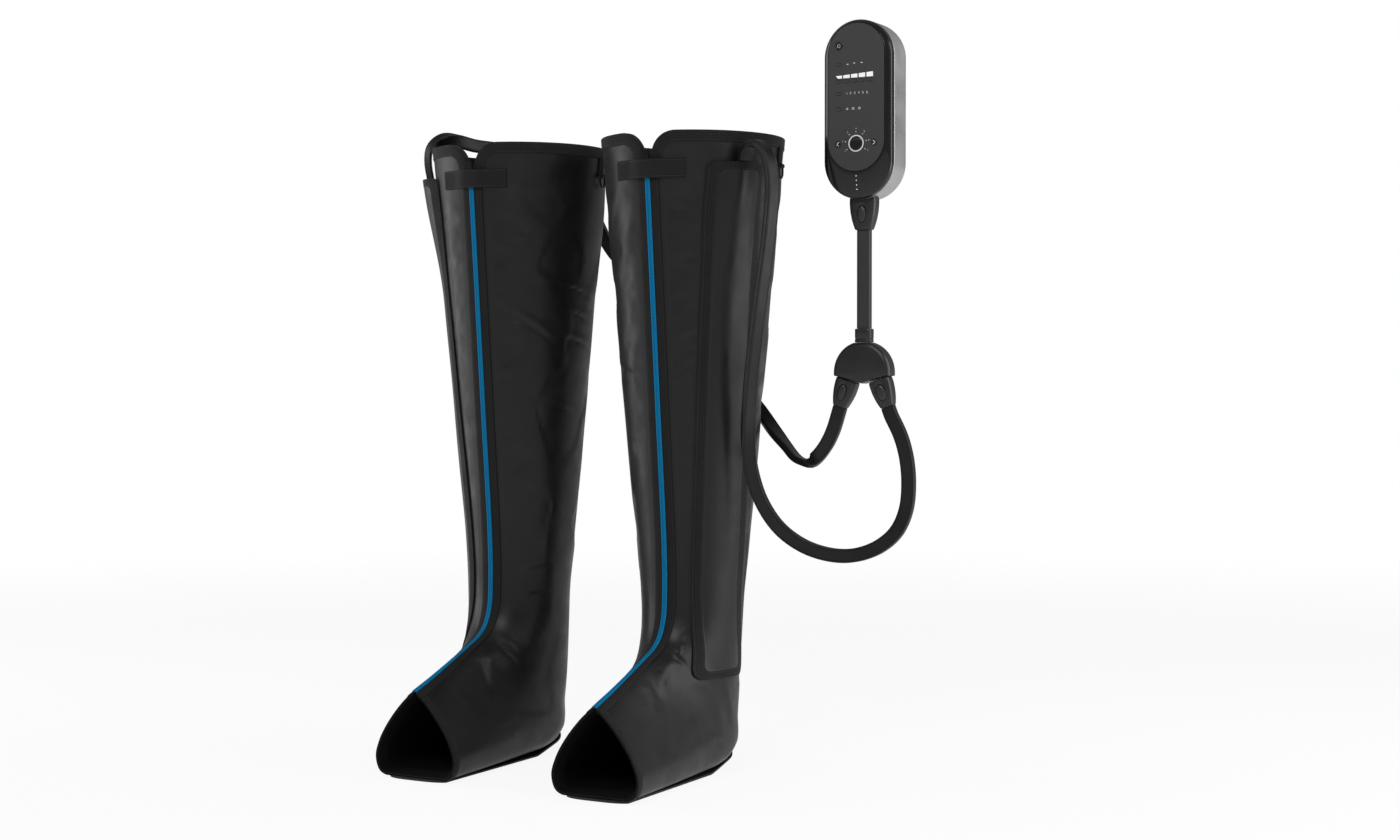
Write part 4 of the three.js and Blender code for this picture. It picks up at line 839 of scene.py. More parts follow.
def add_rear_shell():
    inset, rounding, wall, front = BACK_INSET, BACK_ROUNDING, PUMP_WALL, SEAM_DEPTH + CLEARANCE
    profile = [(inset + 0.6, PUMP_DEPTH)]
    profile += [(inset * (1 - math.sin(turn)), PUMP_DEPTH - rounding * (1 - math.cos(turn)))
                for turn in np.linspace(0.06, 1, 14) * math.pi / 2]
    profile += [
        (0, front + 0.5), (0.4, front), (wall, front), (wall, PUMP_DEPTH - rounding),
        (wall + 0.3 * inset, PUMP_DEPTH - 0.45 * rounding), (wall + 0.6 * inset, PUMP_DEPTH - wall),
    ]
    rings = np.array([housing_ring(*pair) for pair in profile])
    piece = tube("rear_shell_moulding", rings, [GREY], crease=30)
    low, high = source_box("outlet_socket")
    low, high = low - CLEARANCE - [0, 0, SOCKET_CUT], high + CLEARANCE
    corners = np.array([[low[0], low[1]], [high[0], low[1]], [high[0], high[1]], [low[0], high[1]]])
    socket = points_of(corners[:, 0], corners[:, 1], np.array([low[2], high[2]])[:, None])
    low, high = source_box("charge_socket")
    _, y, z = (low + high) / 2
    angle = np.linspace(0, 2 * math.pi, 32, endpoint=False)
    ends = np.array([[low[0] - 3], [low[0] + 3.5]])
    charge = points_of(ends, y + CHARGE_CUT * np.cos(angle), z + CHARGE_CUT * np.sin(angle))
    cut_away(piece, [tube("tool", tool, [GREY]) for tool in (socket, charge)])
    return stand_for(piece, "rear_shell")


def source_box(node):
    """Low and high corner of a CAD node, in millimetres"""
    return [(np.array(corner) - SHIFT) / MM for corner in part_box(node)]


# Controls, as the source places them
LEFT_COLUMN = -23.5
CHAMBER_PITCH = 10.5
OVAL = (4.3, 2.15)
POWER_RADIUS = 5.2
ARROW_RADIUS = 4
START_RADIUS = 8.6
START_RING_WIDTH = 1.5
START_HEIGHT = PANEL_TOP - 148
CONTROLS = {
    "power_button": (LEFT_COLUMN, PANEL_TOP - 27, POWER_RADIUS, POWER_RADIUS),
    "pressure_button": (LEFT_COLUMN, PANEL_TOP - 50, *OVAL),
    "mode_button": (LEFT_COLUMN, PANEL_TOP - 86, *OVAL),
    "time_button": (LEFT_COLUMN, PANEL_TOP - 105, *OVAL),
    "previous_button": (-24.5, START_HEIGHT, ARROW_RADIUS, ARROW_RADIUS),
    "next_button": (24.5, START_HEIGHT, ARROW_RADIUS, ARROW_RADIUS),
}
for i in range(5):
    CONTROLS[f"chamber_button_{i + 1}"] = (LEFT_COLUMN + i * CHAMBER_PITCH, PANEL_TOP - 71, *OVAL)

WINDOW_WIDTH = 8.6
WINDOW_BOTTOM = PANEL_TOP - 67


def oval_loop(x, z, half_width, half_height, sides=40):
    angle = np.linspace(0, 2 * math.pi, sides, endpoint=False)
    return points_of(x + half_width * np.cos(angle), z + half_height * np.sin(angle))


def window_loop(i, growth):
    left = LEFT_COLUMN + i * CHAMBER_PITCH - WINDOW_WIDTH / 2
    right = left + WINDOW_WIDTH
    high = lambda x: WINDOW_BOTTOM + lerp(3.2, 5.6, max((x - LEFT_COLUMN) / (4 * CHAMBER_PITCH), 0)) + growth
    low, start = WINDOW_BOTTOM - growth, left + (3.4 if i == 0 else 0)
    return np.array([
        [start - growth, low], [right + growth, low], [right + growth, high(right)], [left - growth, high(left)],
    ])


def add_panel():
    outline = panel_ring(0, 0)[:, [0, 2]] - [PUMP_X, 0]
    holes = [oval_loop(x, z, a + CLEARANCE, b + CLEARANCE) for x, z, a, b in CONTROLS.values()]
    ring_outer = START_RADIUS + START_RING_WIDTH + 2 * CLEARANCE
    holes.append(oval_loop(0, START_HEIGHT, ring_outer, ring_outer, 72))
    holes += [window_loop(i, CLEARANCE) for i in range(5)]
    loops = [outline] + holes
    corners = np.concatenate(loops)
    count = len(corners)
    front = points_of(PUMP_X + corners[:, 0], PUMP_FRONT, corners[:, 1])
    faces = []
    for a, b, c in tessellate_polygon([[Vector((x, z, 0)) for x, z in loop] for loop in loops]):
        ab, ac = corners[b] - corners[a], corners[c] - corners[a]
        if ab[0] * ac[1] - ab[1] * ac[0] <= 0:
            b, c = c, b
        faces += [[a, b, c], [count + a, count + c, count + b]]
    at = 0
    for loop in loops:
        following = np.roll(loop, -1, axis=0)
        area = np.sum(loop[:, 0] * following[:, 1] - following[:, 0] * loop[:, 1])
        for j in range(len(loop)):
            a, b = at + j, at + (j + 1) % len(loop)
            wall = [a, a + count, b + count, b]
            faces.append(wall if (area > 0) == (loop is outline) else wall[::-1])
        at += len(loop)
    both = np.concatenate([front, front + [0, PANEL_THICKNESS, 0]])
    return stand_for(new_object("control_panel_plate", both, faces, [PANEL]), "control_panel")


BUTTON_FACE = [
    (0, 0.1), (0.3, 0.06), (0.6, -0.12), (0.76, -0.3), (0.84, -0.4), (0.9, -0.38), (0.97, -0.2), (1, 0.05),
]


def add_button(name, x, z, half_width, half_height, material, flange=2.3):
    grown = 1 + 0.7 / max(half_width, half_height)
    profile = BUTTON_FACE + [(1, flange), (grown, flange), (grown, flange + 0.8), (0, flange + 0.8)]
    rings = oval_rings(half_width, half_height, profile, 56) + [PUMP_X + x, PUMP_FRONT, z]
    return stand_for(tube(f"{name}_cap", rings, [material]), name)


def add_start_ring():
    inner = START_RADIUS + CLEARANCE
    outer = inner + START_RING_WIDTH
    profile = [(inner, 0.15), (inner + 0.2, 0), (outer - 0.2, 0), (outer, 0.15), (outer, 2.3), (outer + 1, 2.3),
               (outer + 1, 3.1), (inner, 3.1)]
    rings = oval_rings(1, 1, profile, 72) + [PUMP_X, PUMP_FRONT, START_HEIGHT]
    return stand_for(tube("start_ring_light", rings, [RING_WHITE], closed=True), "start_ring")


# Printed marks on the panel: generic numbers, arrows and lamps only
def add_mark(name, loops, depth=-0.08):
    points, faces = [], []
    for loop in loops:
        start, n = len(points), len(loop)
        points += [[PUMP_X + x, PUMP_FRONT + level, z] for level in (depth, 0.3) for x, z in loop]
        front = range(start, start + n)
        faces += [list(front), [j + n for j in reversed(front)]]
        faces += [[start + (j + 1) % n, start + j, start + n + j, start + n + (j + 1) % n] for j in range(n)]
    return new_object(name, np.array(points), faces, [PRINT])


def stroke(x0, z0, x1, z1, width):
    a, b = np.array([x0, z0], float), np.array([x1, z1], float)
    along = unit(b - a)
    aside = np.array([-along[1], along[0]]) * width / 2
    return [a - aside, b - aside, b + aside, a + aside]


SEGMENTS = {
    "a": (0, 2, 1, 2), "b": (1, 2, 1, 1), "c": (1, 1, 1, 0), "d": (0, 0, 1, 0), "e": (0, 1, 0, 0),
    "f": (0, 2, 0, 1), "g": (0, 1, 1, 1),
}
DIGITS = {"0": "abcdef", "1": "bc", "2": "abged", "3": "abgcd", "4": "fgbc", "5": "afgcd", "6": "afgedc", "7": "abc"}


def digit_loops(text, x, z, height):
    half = height / 2
    pitch = half * 1.7
    start = x - (len(text) - 1) * pitch / 2 - half / 2
    loops = []
    for k, letter in enumerate(text):
        for segment in DIGITS[letter]:
            x0, z0, x1, z1 = np.array(SEGMENTS[segment]) * half + [start + k * pitch, z - half] * 2
            loops.append(stroke(x0, z0, x1, z1, 0.15 * height))
    return loops


LAMP_RADIUS = 0.62
LAMP_REACH = 14.3
NUMBER_REACH = 18
LAMP_TURNS = np.radians([211, 170, 129, 90, 51, 10, -31])
INDICATORS = [(-11.5, 898), (-2.5, 899), (7.5, 899)]
LEVEL_LAMPS = [(0, 760), (0, 754.5), (0, 749), (0, 743.5)]


def add_marks():
    loops = []
    for k in range(6):
        loops += digit_loops(str(k + 1), -13 + k * 5.6, PANEL_TOP - 86, 2.5)
    for text, x in (("10", -12.5), ("20", -4), ("30", 4.5)):
        loops += digit_loops(text, x, PANEL_TOP - 105, 2.4)
    loops += [oval_loop(x, z - 0.3, 1.5, 0.5, 16) for x, z in INDICATORS]
    for k, turn in enumerate(LAMP_TURNS):
        x, z = math.cos(turn), math.sin(turn)
        loops.append(oval_loop(x * LAMP_REACH, START_HEIGHT + z * LAMP_REACH, LAMP_RADIUS, LAMP_RADIUS, 16))
        loops += digit_loops(str(k + 1), x * NUMBER_REACH, START_HEIGHT + z * NUMBER_REACH, 1.7)
    go_with(add_mark("panel_marks", loops), "control_panel")
    for name, direction in (("previous_button", -1), ("next_button", 1)):
        x = CONTROLS[name][0]
        tip, tail = x + direction * 1.4, x - direction * 1.1
        arms = [stroke(tip, START_HEIGHT, tail, START_HEIGHT + rise, 0.7) for rise in (2.5, -2.5)]
        go_with(add_mark(f"{name}_arrow", arms, depth=-0.3), name)
    x, z = CONTROLS["power_button"][:2]
    arc = np.radians(np.linspace(125, 415, 22))
    places = points_of(x + 1.9 * np.cos(arc), z + 1.9 * np.sin(arc))
    strokes = [stroke(*a, *b, 0.4) for a, b in zip(places[:-1], places[1:])] + [stroke(x, z + 0.4, x, z + 2.5, 0.4)]
    go_with(add_mark("power_symbol", strokes, depth=-0.18), "power_button")


def bevel_depth(z):
    """How far the front shell's slope lies behind the front face, on the middle line at a height"""
    share = (PANEL_BOTTOM - CLEARANCE - z) / (PANEL_BOTTOM - CLEARANCE - PUMP_BOTTOM)
    return BEVEL_DROP * np.clip(share, 0, 0.9) ** BEVEL_BEND


def add_pump():
    add_front_shell()
    add_rear_shell()
    add_panel()
    for name, (x, z, half_width, half_height) in CONTROLS.items():
        material = GLOSS_BUTTON if half_width == half_height else PANEL_BUTTON
        add_button(name, x, z, half_width, half_height, material)
    add_button("start_button", 0, START_HEIGHT, START_RADIUS, START_RADIUS, GLOSS_BUTTON, 3.4)
    add_start_ring()
    add_marks()
    for k, (x, z) in enumerate(LEVEL_LAMPS):
        depth = bevel_depth(z)
        profile = [(0, depth - 0.35), (0.6, depth - 0.3), (1, depth), (1, depth + 0.8), (0, depth + 0.8)]
        rings = oval_rings(0.75, 0.75, profile, 20) + [PUMP_X + x, PUMP_FRONT, z]
        go_with(tube(f"level_lamp_{k + 1}", rings, [WHITE]), "front_shell")


# Boot pieces
def stitches(name, side, rows, shares, stand, node, length=2.6, gap=1.3, width=0.55):
    """A row of stitches along a line on the boot"""
    line = on_side(boot_points(rows, shares, stand), side)
    out = (boot_points(rows, shares, 1.0) - boot_points(rows, shares)) * [side, 1, 1]
    lengths = lengths_along(line)
    starts = np.arange(0, lengths[-1] - length, length + gap)
    at = lambda s, data: points_of(*(np.interp(s, lengths, data[:, k]) for k in range(3)))
    a, b = at(starts, line), at(starts + length, line)
    normal = unit(at(starts + length / 2, out))
    aside = np.cross(unit(b - a), normal) * width / 2
    middle = (a + b) / 2 + normal * width * 0.75
    corners = [a + aside, a - aside, b - aside, b + aside, middle + aside * 0.7, middle - aside * 0.7]
    points = np.stack(corners, axis=1).reshape(-1, 3)
    shape = [[0, 1, 5, 4], [2, 3, 4, 5], [1, 2, 5], [3, 0, 4], [3, 2, 1, 0]]
    faces = [[n + k for k in face] for n in range(0, 6 * len(starts), 6) for face in shape]
    return go_with(new_object(name, points, faces, [THREAD], crease=80), node)


def boot_sheet(name, side, rows, shares, high, low, materials, uv=None, kinds=None):
    """A sheet on the boot between two stands from its surface"""
    outer = boot_points(rows, shares, high)
    inner = boot_points(rows, shares, low)
    if uv is None:
        uv = surface_uv(rows, shares, outer)
    return slab(name, on_side(outer, side), on_side(inner, side), materials, uv, kinds)


# The sleeve and sole, where they bear on the skin
SLEEVE_TOP = 780
SLEEVE_BOTTOM = 128
SLEEVE_WIDTH = 81
SLEEVE_THICKNESS = 1.5
SLEEVE_MOUTH_RISE = 15.5
SLEEVE_FLAT_RISE = 1.6
SLEEVE_FLARE = 170
SLEEVE_BORDER = 14
SLEEVE_HEM = 10
SLEEVE_CORNER = 9
SLEEVE_FOOT_CORNER = 15
SLEEVE_FIELD_CORNER = 8
SLEEVE_LENGTH = SLEEVE_TOP - SLEEVE_BOTTOM

# Where its front edge lies round the boot: share of the depth, share of the girth
SLEEVE_EDGE = smooth_line(np.array([
    [0, 0.107], [0.024, 0.106], [0.056, 0.104], [0.095, 0.1015], [0.143, 0.1], [0.2, 0.099], [0.27, 0.0965],
    [0.5, 0.0885], [0.765, 0.078], [0.84, 0.0805], [0.9, 0.093], [0.95, 0.118], [1, 0.145],
]), np.linspace(0, 1, 240))

SOLE_TOE_HALF_WIDTH = 45
SOLE_TOE_REACH = 241
SOLE_HEEL_RADIUS = 38
SOLE_HEEL_CENTRE = 28
SOLE_THICKNESS = 3
HEEL_LIP_HEIGHT = 22
HEEL_LIP_START = 23
SOLE_TOE_BOW = 9
HEEL_CUP_START = -20
HEEL_CUP_BEND = 1.1


def heel_lift(along, across):
    """Height of the sole's underside: a lip behind the heel, and a rim that rises earlier at its sides"""
    tip = SOLE_HEEL_CENTRE + SOLE_HEEL_RADIUS
    lip = np.clip((along - HEEL_LIP_START) / (tip - HEEL_LIP_START), 0, 1) ** 2
    cup = np.clip((along - HEEL_CUP_START) / (tip - HEEL_CUP_START), 0, 1) ** HEEL_CUP_BEND
    return HEEL_LIP_HEIGHT * lerp(lip, cup, np.abs(across) ** 2.5)


# Creases of the fabric: arc round from the zip line, height, length, tilt in degrees, depth
CREASES = {
    1: [(45, 157, 46, -29, 1.5), (44, 126, 34, -41, 1.2), (37, 121, 28, -41, 0.8), (52, 566, 44, 22, 0.7),
        (57, 549, 34, 16, 0.6), (-41, 517, 34, -18, 0.7), (118, 300, 90, 70, 0.5)],
    -1: [(-145, 629, 70, 12.6, 1.5), (-72, 580, 56, 33, 1.5), (-148, 560, 60, 12, 1.4), (-150, 595, 50, 15, 1.2),
         (-65, 258, 34, -9, 1.2), (-62, 222, 36, 0, 1.1), (-51, 153, 60, 31.6, 1.5), (-57, 119, 56, 50, 0.8),
         (-118, 470, 60, 20, 0.5)],
}


def crease_relief(arc, height, side):
    """Broad swells, and for each crease a sharp dip with a softer ridge beside it"""
    relief = 0.7 * np.sin(arc / 61 + height / 83) * np.sin(height / 47 - arc / 90)
    for around, level, length, tilt, depth in CREASES[side]:
        turn = math.radians(tilt)
        x, z = arc - around, height - level
        along = x * math.cos(turn) + z * math.sin(turn)
        aside = -x * math.sin(turn) + z * math.cos(turn) + along**2 / 600
        dip = 0.8 * np.exp(-((aside - 5) / 5) ** 2) - np.exp(-(aside / 2.8) ** 2)
        relief = relief + 1.4 * depth * dip * np.exp(-(along / (length / 2)) ** 2)
    return relief


def skin_columns(count=90, corner=12):
    notch = NOTCH_RADIUS / (2 * math.pi * RIM_RADIUS)
    near = notch * (1 - np.cos(np.linspace(0, math.pi / 2, corner, endpoint=False)))
    half = np.concatenate([SLIT_HALF_SHARE + near, np.linspace(SLIT_HALF_SHARE + notch, 0.5, count)])
    return np.concatenate([half, 1 - half[-2::-1]])


LEG_STEPS = 140
FOOT_STEPS = 90


def wall_rows(top, leg_steps, foot_steps):
    leg = lerp(top[None], 3.0, np.linspace(0, 1, leg_steps + 1)[:, None])
    foot = np.linspace(3, LAST_ROW, foot_steps + 1)[1:, None]
    return np.concatenate([leg, np.broadcast_to(foot, (foot_steps, len(top)))])


def signed_arc(row, share):
    return np.where(share > 0.5, share - 1, share) * girth(row)


def surface_uv(row, share, points):
    return points_of(signed_arc(row, share), lengths_along(points))


def free_share(row, arc, height):
    """0 where the outer fabric is sewn down, at the zip, rim, toe and sole, and 1 where it is free"""
    free = smoothstep(np.abs(arc), 18, 46) * smoothstep(BOOT_HEIGHT - height, 22, 90)
    return free * (1 - smoothstep(row, 9, 11.6)) * smoothstep(height, 16, 60)


def under_sleeve(row, arc, height):
    depth = np.clip((SLEEVE_TOP - height) / SLEEVE_LENGTH, 0, 1)
    across = arc - np.interp(depth, SLEEVE_EDGE[:, 0], SLEEVE_EDGE[:, 1]) * girth(row)
    inside = smoothstep(across, -14, 1) * (1 - smoothstep(across, SLEEVE_WIDTH - 1, SLEEVE_WIDTH + 14))
    return inside * smoothstep(height, SLEEVE_BOTTOM - 14, SLEEVE_BOTTOM + 2)


# The outer fabric buckles between its seams. A coarse copy of it, a little too large for its place and
# held where it is sewn down, is simulated as cloth, and its moves are laid on the fine mesh.
FOLD_LEG_STEPS = 72
FOLD_FOOT_STEPS = 36
FOLD_COLUMNS = 101
FOLD_GROWTH = 0.01
FOLD_FRAMES = 20
FOLD_REACH = 1.1
FOLD_DENT = 0.6
FOLD_SHARES = np.linspace(SLIT_HALF_SHARE, 1 - SLIT_HALF_SHARE, FOLD_COLUMNS)
CLOTH_SETTINGS = {
    "vertex_group_mass": "sewn", "quality": 5, "mass": 0.2, "tension_stiffness": 25, "compression_stiffness": 25,
    "shear_stiffness": 12, "bending_stiffness": 8, "shrink_min": -FOLD_GROWTH,
}
folds = {}


def simulated_folds(side):
    rows = wall_rows(row_at(FOLD_SHARES, rim_height(FOLD_SHARES)), FOLD_LEG_STEPS, FOLD_FOOT_STEPS)
    shares = np.broadcast_to(FOLD_SHARES, rows.shape)
    rest = boot_points(rows, shares)
    out = boot_points(rows, shares, 1.0) - rest
    arc = signed_arc(rows, shares)
    start = boot_points(rows, shares, crease_relief(arc, rest[..., 2], side))
    free = free_share(rows, arc, rest[..., 2]) * (1 - under_sleeve(rows, arc, rest[..., 2]))
    cloth_object = new_object("fabric_trial", start.reshape(-1, 3), grid_quads(*rows.shape), [])
    sewn = cloth_object.vertex_groups.new(name="sewn")
    for index, weight in enumerate(1 - np.clip(free.ravel() * 1.6, 0, 1)):
        sewn.add([index], float(weight), "REPLACE")
    cloth = cloth_object.modifiers.new("cloth", "CLOTH")
    for key, value in CLOTH_SETTINGS.items():
        setattr(cloth.settings, key, value)
    cloth.settings.effector_weights.gravity = 0
    cloth.collision_settings.use_collision = cloth.collision_settings.use_self_collision = False
    cloth.point_cache.frame_start, cloth.point_cache.frame_end = 1, FOLD_FRAMES
    scene = bpy.context.scene
    for frame_number in range(1, FOLD_FRAMES + 1):
        scene.frame_set(frame_number)
    made = cloth_object.evaluated_get(bpy.context.evaluated_depsgraph_get()).data
    moved = np.zeros(len(made.vertices) * 3, np.float32)
    made.vertices.foreach_get("co", moved)
    moved = (moved.reshape(*rows.shape, 3) - SHIFT) / MM
    bpy.data.objects.remove(cloth_object)
    scene.frame_set(1)
    move = np.nan_to_num(np.sum((moved - start) * out, axis=-1))
    return np.where(move > 0, FOLD_REACH * np.tanh(move / FOLD_REACH), FOLD_DENT * np.tanh(move / FOLD_DENT))


def fold_relief(row, share, side):
    """The simulated move at any place on the boot"""
    if side not in folds:
        folds[side] = simulated_folds(side)
    grid = folds[side]
    top = row_at(share, rim_height(share)) if np.ndim(share) < 2 else row_at(share[0], rim_height(share[0]))[None]
    leg = np.clip((row - top) / (3 - top), 0, 1) * FOLD_LEG_STEPS
    foot = np.clip((row - 3) / (LAST_ROW - 3), 0, 1) * FOLD_FOOT_STEPS
    down = np.clip(leg + foot, 0, len(grid) - 1.001)
    across = (share - SLIT_HALF_SHARE) / (1 - 2 * SLIT_HALF_SHARE) * (FOLD_COLUMNS - 1)
    across = np.clip(across, 0, FOLD_COLUMNS - 1.001)
    i, j = np.floor(down).astype(int), np.floor(across).astype(int)
    u, v = smoothstep(down - i, 0, 1), smoothstep(across - j, 0, 1)
    return lerp(lerp(grid[i, j], grid[i, j + 1], v), lerp(grid[i + 1, j], grid[i + 1, j + 1], v), u)


HEEL_FILL = 5.5


def heel_fill(row, share, place):
    """The heel's padding settles towards the sole's cup"""
    out = boot_points(row, share, 1.0) - place
    sole_top = SOLE_THICKNESS + heel_lift(place[..., 1], np.clip(place[..., 0] / SOLE_HEEL_RADIUS, -1, 1))
    room = (place[..., 2] - sole_top) * np.clip(-out[..., 2], 0, 1)
    fill = np.clip(0.65 * room, 0, HEEL_FILL) * (1 - smoothstep(place[..., 2], 30, 74))
    return fill * smoothstep(place[..., 1], -60, 10) * (row > 4)


def skin_relief(row, share, side):
    place = boot_points(row, share)
    arc, height = signed_arc(row, share), place[..., 2]
    covered = under_sleeve(row, arc, height)
    relief = crease_relief(arc, height, side) + fold_relief(row, np.mod(share, 1), side)
    full = 1.0 * np.sin(np.clip(row, 0, 3) * math.pi) ** 2 * (row < 3)
    lift = np.where(covered > 0, np.minimum(relief, 0.3) * (1 - 0.8 * covered), relief)
    return (lift + full * (1 - covered)) * free_share(row, arc, height) + heel_fill(row, share, place)


def add_skin(name, side):
    share = skin_columns()
    rows = wall_rows(row_at(share, rim_height(share)), LEG_STEPS, FOOT_STEPS)
    shares = np.broadcast_to(share, rows.shape)
    relief = skin_relief(rows, shares, side)
    piece = boot_sheet(f"{name}_skin", side, rows, shares, relief, relief - SHELL_THICKNESS + 0.2, [FABRIC])
    stand_for(piece, f"{name}_shell")


RIM_BINDING = np.array([
    [15, 0.1], [15, 0.65], [14.4, 0.85], [10, 0.95], [5, 0.95], [1.2, 0.9], [0.35, 0.5], [0.0, -0.3],
    [0.0, -7.9], [0.35, -8.5], [1.2, -8.8], [15, -8.8], [15, -7.4], [1.6, -7.4], [1.6, -1.8],
])
RIM_STITCH_DEPTH = 12.6


def add_rim_binding(name, side):
    """Folded tape over the rim: it follows the notch's rounded corners at an even width"""
    girth_rim = 2 * math.pi * RIM_RADIUS
    slit = SLIT_HALF_SHARE * girth_rim
    turn = np.linspace(math.pi, math.pi / 2, 18)
    corner = points_of(
        slit + NOTCH_RADIUS * (1 + np.cos(turn)), BOOT_HEIGHT - NOTCH_RADIUS + NOTCH_RADIUS * np.sin(turn))
    inward = points_of(-np.cos(turn), -np.sin(turn))
    arcs = np.linspace(slit + NOTCH_RADIUS, girth_rim - slit - NOTCH_RADIUS, 110)[1:-1]
    other = points_of(girth_rim - corner[::-1, 0], corner[::-1, 1])
    edge = np.concatenate([corner, points_of(arcs, float(BOOT_HEIGHT)), other])
    inwards = np.concatenate([inward, points_of(0 * arcs, -1.0), inward[::-1] * [-1, 1]])
    place = edge[:, None] + inwards[:, None] * RIM_BINDING[None, :, :1]
    share = place[..., 0] / girth_rim
    row = row_at(share, np.minimum(place[..., 1], BOOT_HEIGHT))
    rings = on_side(boot_points(row, share, RIM_BINDING[None, :, 1]), side)
    uv = np.stack(np.meshgrid(RIM_BINDING.sum(axis=1), lengths_along(edge)), axis=-1)
    go_with(tube(f"{name}_rim_binding", rings, [MESH], uv, crease=50), f"{name}_shell")
    line = edge + inwards * RIM_STITCH_DEPTH
    share = line[:, 0] / girth_rim
    stitches(f"{name}_rim_stitches_0", side, row_at(share, line[:, 1]), share, 0.9, f"{name}_shell")


TOE_BINDING = np.array([
    [11.5, 0.1], [11.5, 0.6], [11, 0.8], [6, 0.9], [1.2, 0.85], [0.35, 0.45], [0, -0.4], [0, -1.6], [0.4, -2.3],
    [1.2, -2.6], [2.6, -2.6], [2.6, -2.1], [1.6, -2.1], [1.6, -0.2],
])
TOE_STITCH_DEPTH = 9.4
TOE_RING_SHARES = np.linspace(SLIT_HALF_SHARE, 1 - SLIT_HALF_SHARE, 160)
TOE_FACING = np.array([[15.2, -2.72], [0.9, -2.72], [0.9, -2.95], [4, -4.4], [9, -6.6], [15.2, -8.7]])


def add_toe_ring(name, piece_name, side, profile, material):
    """A ring round the toe opening: each profile point has a length from the edge and a stand"""
    rows = np.stack([row_before_toe(TOE_RING_SHARES, depth) if depth > 0
                     else np.full(TOE_RING_SHARES.shape, float(LAST_ROW)) for depth in profile[:, 0]], axis=1)
    points = boot_points(rows, TOE_RING_SHARES[:, None], profile[None, :, 1])
    points[..., 2] = np.maximum(points[..., 2], 3.05)
    uv = np.stack(np.meshgrid(profile.sum(axis=1), lengths_along(points[:, 1])), axis=-1)
    go_with(tube(piece_name, on_side(points, side), [material], uv, crease=50), f"{name}_shell")


def add_toe_binding(name, side):
    add_toe_ring(name, f"{name}_toe_binding", side, TOE_BINDING, MESH)
    add_toe_ring(name, f"{name}_toe_facing", side, TOE_FACING, LINING)
    keep = (TOE_RING_SHARES > 0.06) & (TOE_RING_SHARES < 0.94)
    share, rows = TOE_RING_SHARES[keep], row_before_toe(TOE_RING_SHARES, TOE_STITCH_DEPTH)[keep]
    stitches(f"{name}_toe_stitches", side, rows, share, 0.85, f"{name}_shell")


WELD_ROWS = [1, 2, 3, 7]
BLADDER_LEG_SHARE = 0.62


def leg_and_foot(top, end, steps, split):
    """Rows from the top to the ankle and on to the end, and their places from 0 to 1"""
    v = np.linspace(0, 1, steps)[:, None]
    leg = lerp(top[None], 3.0, np.clip(v / split, 0, 1))
    return np.where(v < split, leg, lerp(3.0, end, np.clip((v - split) / (1 - split), 0, 1))), v


def add_bladder(name, side):
    share = skin_columns(30, 6)
    top = row_at(share, rim_height(share) - BINDING_WIDTH - CLEARANCE)
    rows, v = leg_and_foot(top, row_before_toe(share, BINDING_WIDTH + CLEARANCE)[None], 120, BLADDER_LEG_SHARE)
    shares = np.broadcast_to(share, rows.shape)
    nearest = np.min(np.abs(rows[..., None] - WELD_ROWS), axis=-1)
    swell = smoothstep(nearest, 0.0, 0.32) ** 0.6
    thick = 2 + 4.5 * swell * smoothstep(v, 0, 0.03) + 0.25 * np.sin(rows * 37) * np.sin(shares * 60) * swell
    gap = SHELL_THICKNESS + CLEARANCE
    piece = boot_sheet(f"{name}_lining", side, rows, shares, -gap, -(gap + np.minimum(thick, 6.5)), [LINING])
    stand_for(piece, f"{name}_bladder")


ZIP_TOP = 790
ZIP_LEG_SHARE = 0.58
TAPE_HALF_WIDTH = 15
TAPE_STITCH_ARC = 13.2
COIL_HALF_WIDTH = 3.5
SEAM_ARC = 21.5
SEAM_TOP = 755.0
SEAM_END_ROW = 9.6
STRAP_TOP = 785
STRAP_BOTTOM = 761
STRAP_REACH = 50
STRAP_RISE = 5.3
STRAP_LAY = 0.95


def zip_places(half_width, columns, steps=190):
    arcs = np.linspace(-half_width, half_width, columns)
    rows, _ = leg_and_foot(row_at_arc(arcs, ZIP_TOP)[0], float(LAST_ROW), steps, ZIP_LEG_SHARE)
    arcs = np.broadcast_to(arcs, rows.shape)
    return rows, arcs, arcs / girth(rows)


def add_zip(name, side):
    rows, arcs, shares = zip_places(TAPE_HALF_WIDTH, 13)
    high = 1.65 - 0.75 * smoothstep(np.abs(arcs), 12.6, TAPE_HALF_WIDTH)
    stand_for(boot_sheet(f"{name}_tape", side, rows, shares, high, 0.35, [MESH]), f"{name}_zip_tape")
    line = rows[2:, 0]
    for k, arc in enumerate((-TAPE_STITCH_ARC, TAPE_STITCH_ARC)):
        stitches(f"{name}_tape_stitches_{k}", side, line, arc / girth(line), 1.2, f"{name}_zip_tape")
    seam = np.linspace(row_at(0.0, SEAM_TOP), SEAM_END_ROW, 220)
    for k, arc in enumerate((-SEAM_ARC, SEAM_ARC)):
        share = arc / girth(seam)
        stand = skin_relief(seam, share, side) + 0.02
        stitches(f"{name}_seam_stitches_{k}", side, seam, share, stand, f"{name}_shell", 1.9, 1.0, 0.45)
    rows, arcs, shares = zip_places(COIL_HALF_WIDTH, 15, 420)
    lobes = np.abs(np.sin(np.clip(np.abs(arcs) / COIL_HALF_WIDTH, 0, 1) * math.pi)) ** 0.6
    coil = boot_sheet(f"{name}_coil", side, rows, shares, 2.15 + 0.95 * lobes, 1.75, [ZIP_BLUE])
    stand_for(coil, f"{name}_zip_coil")


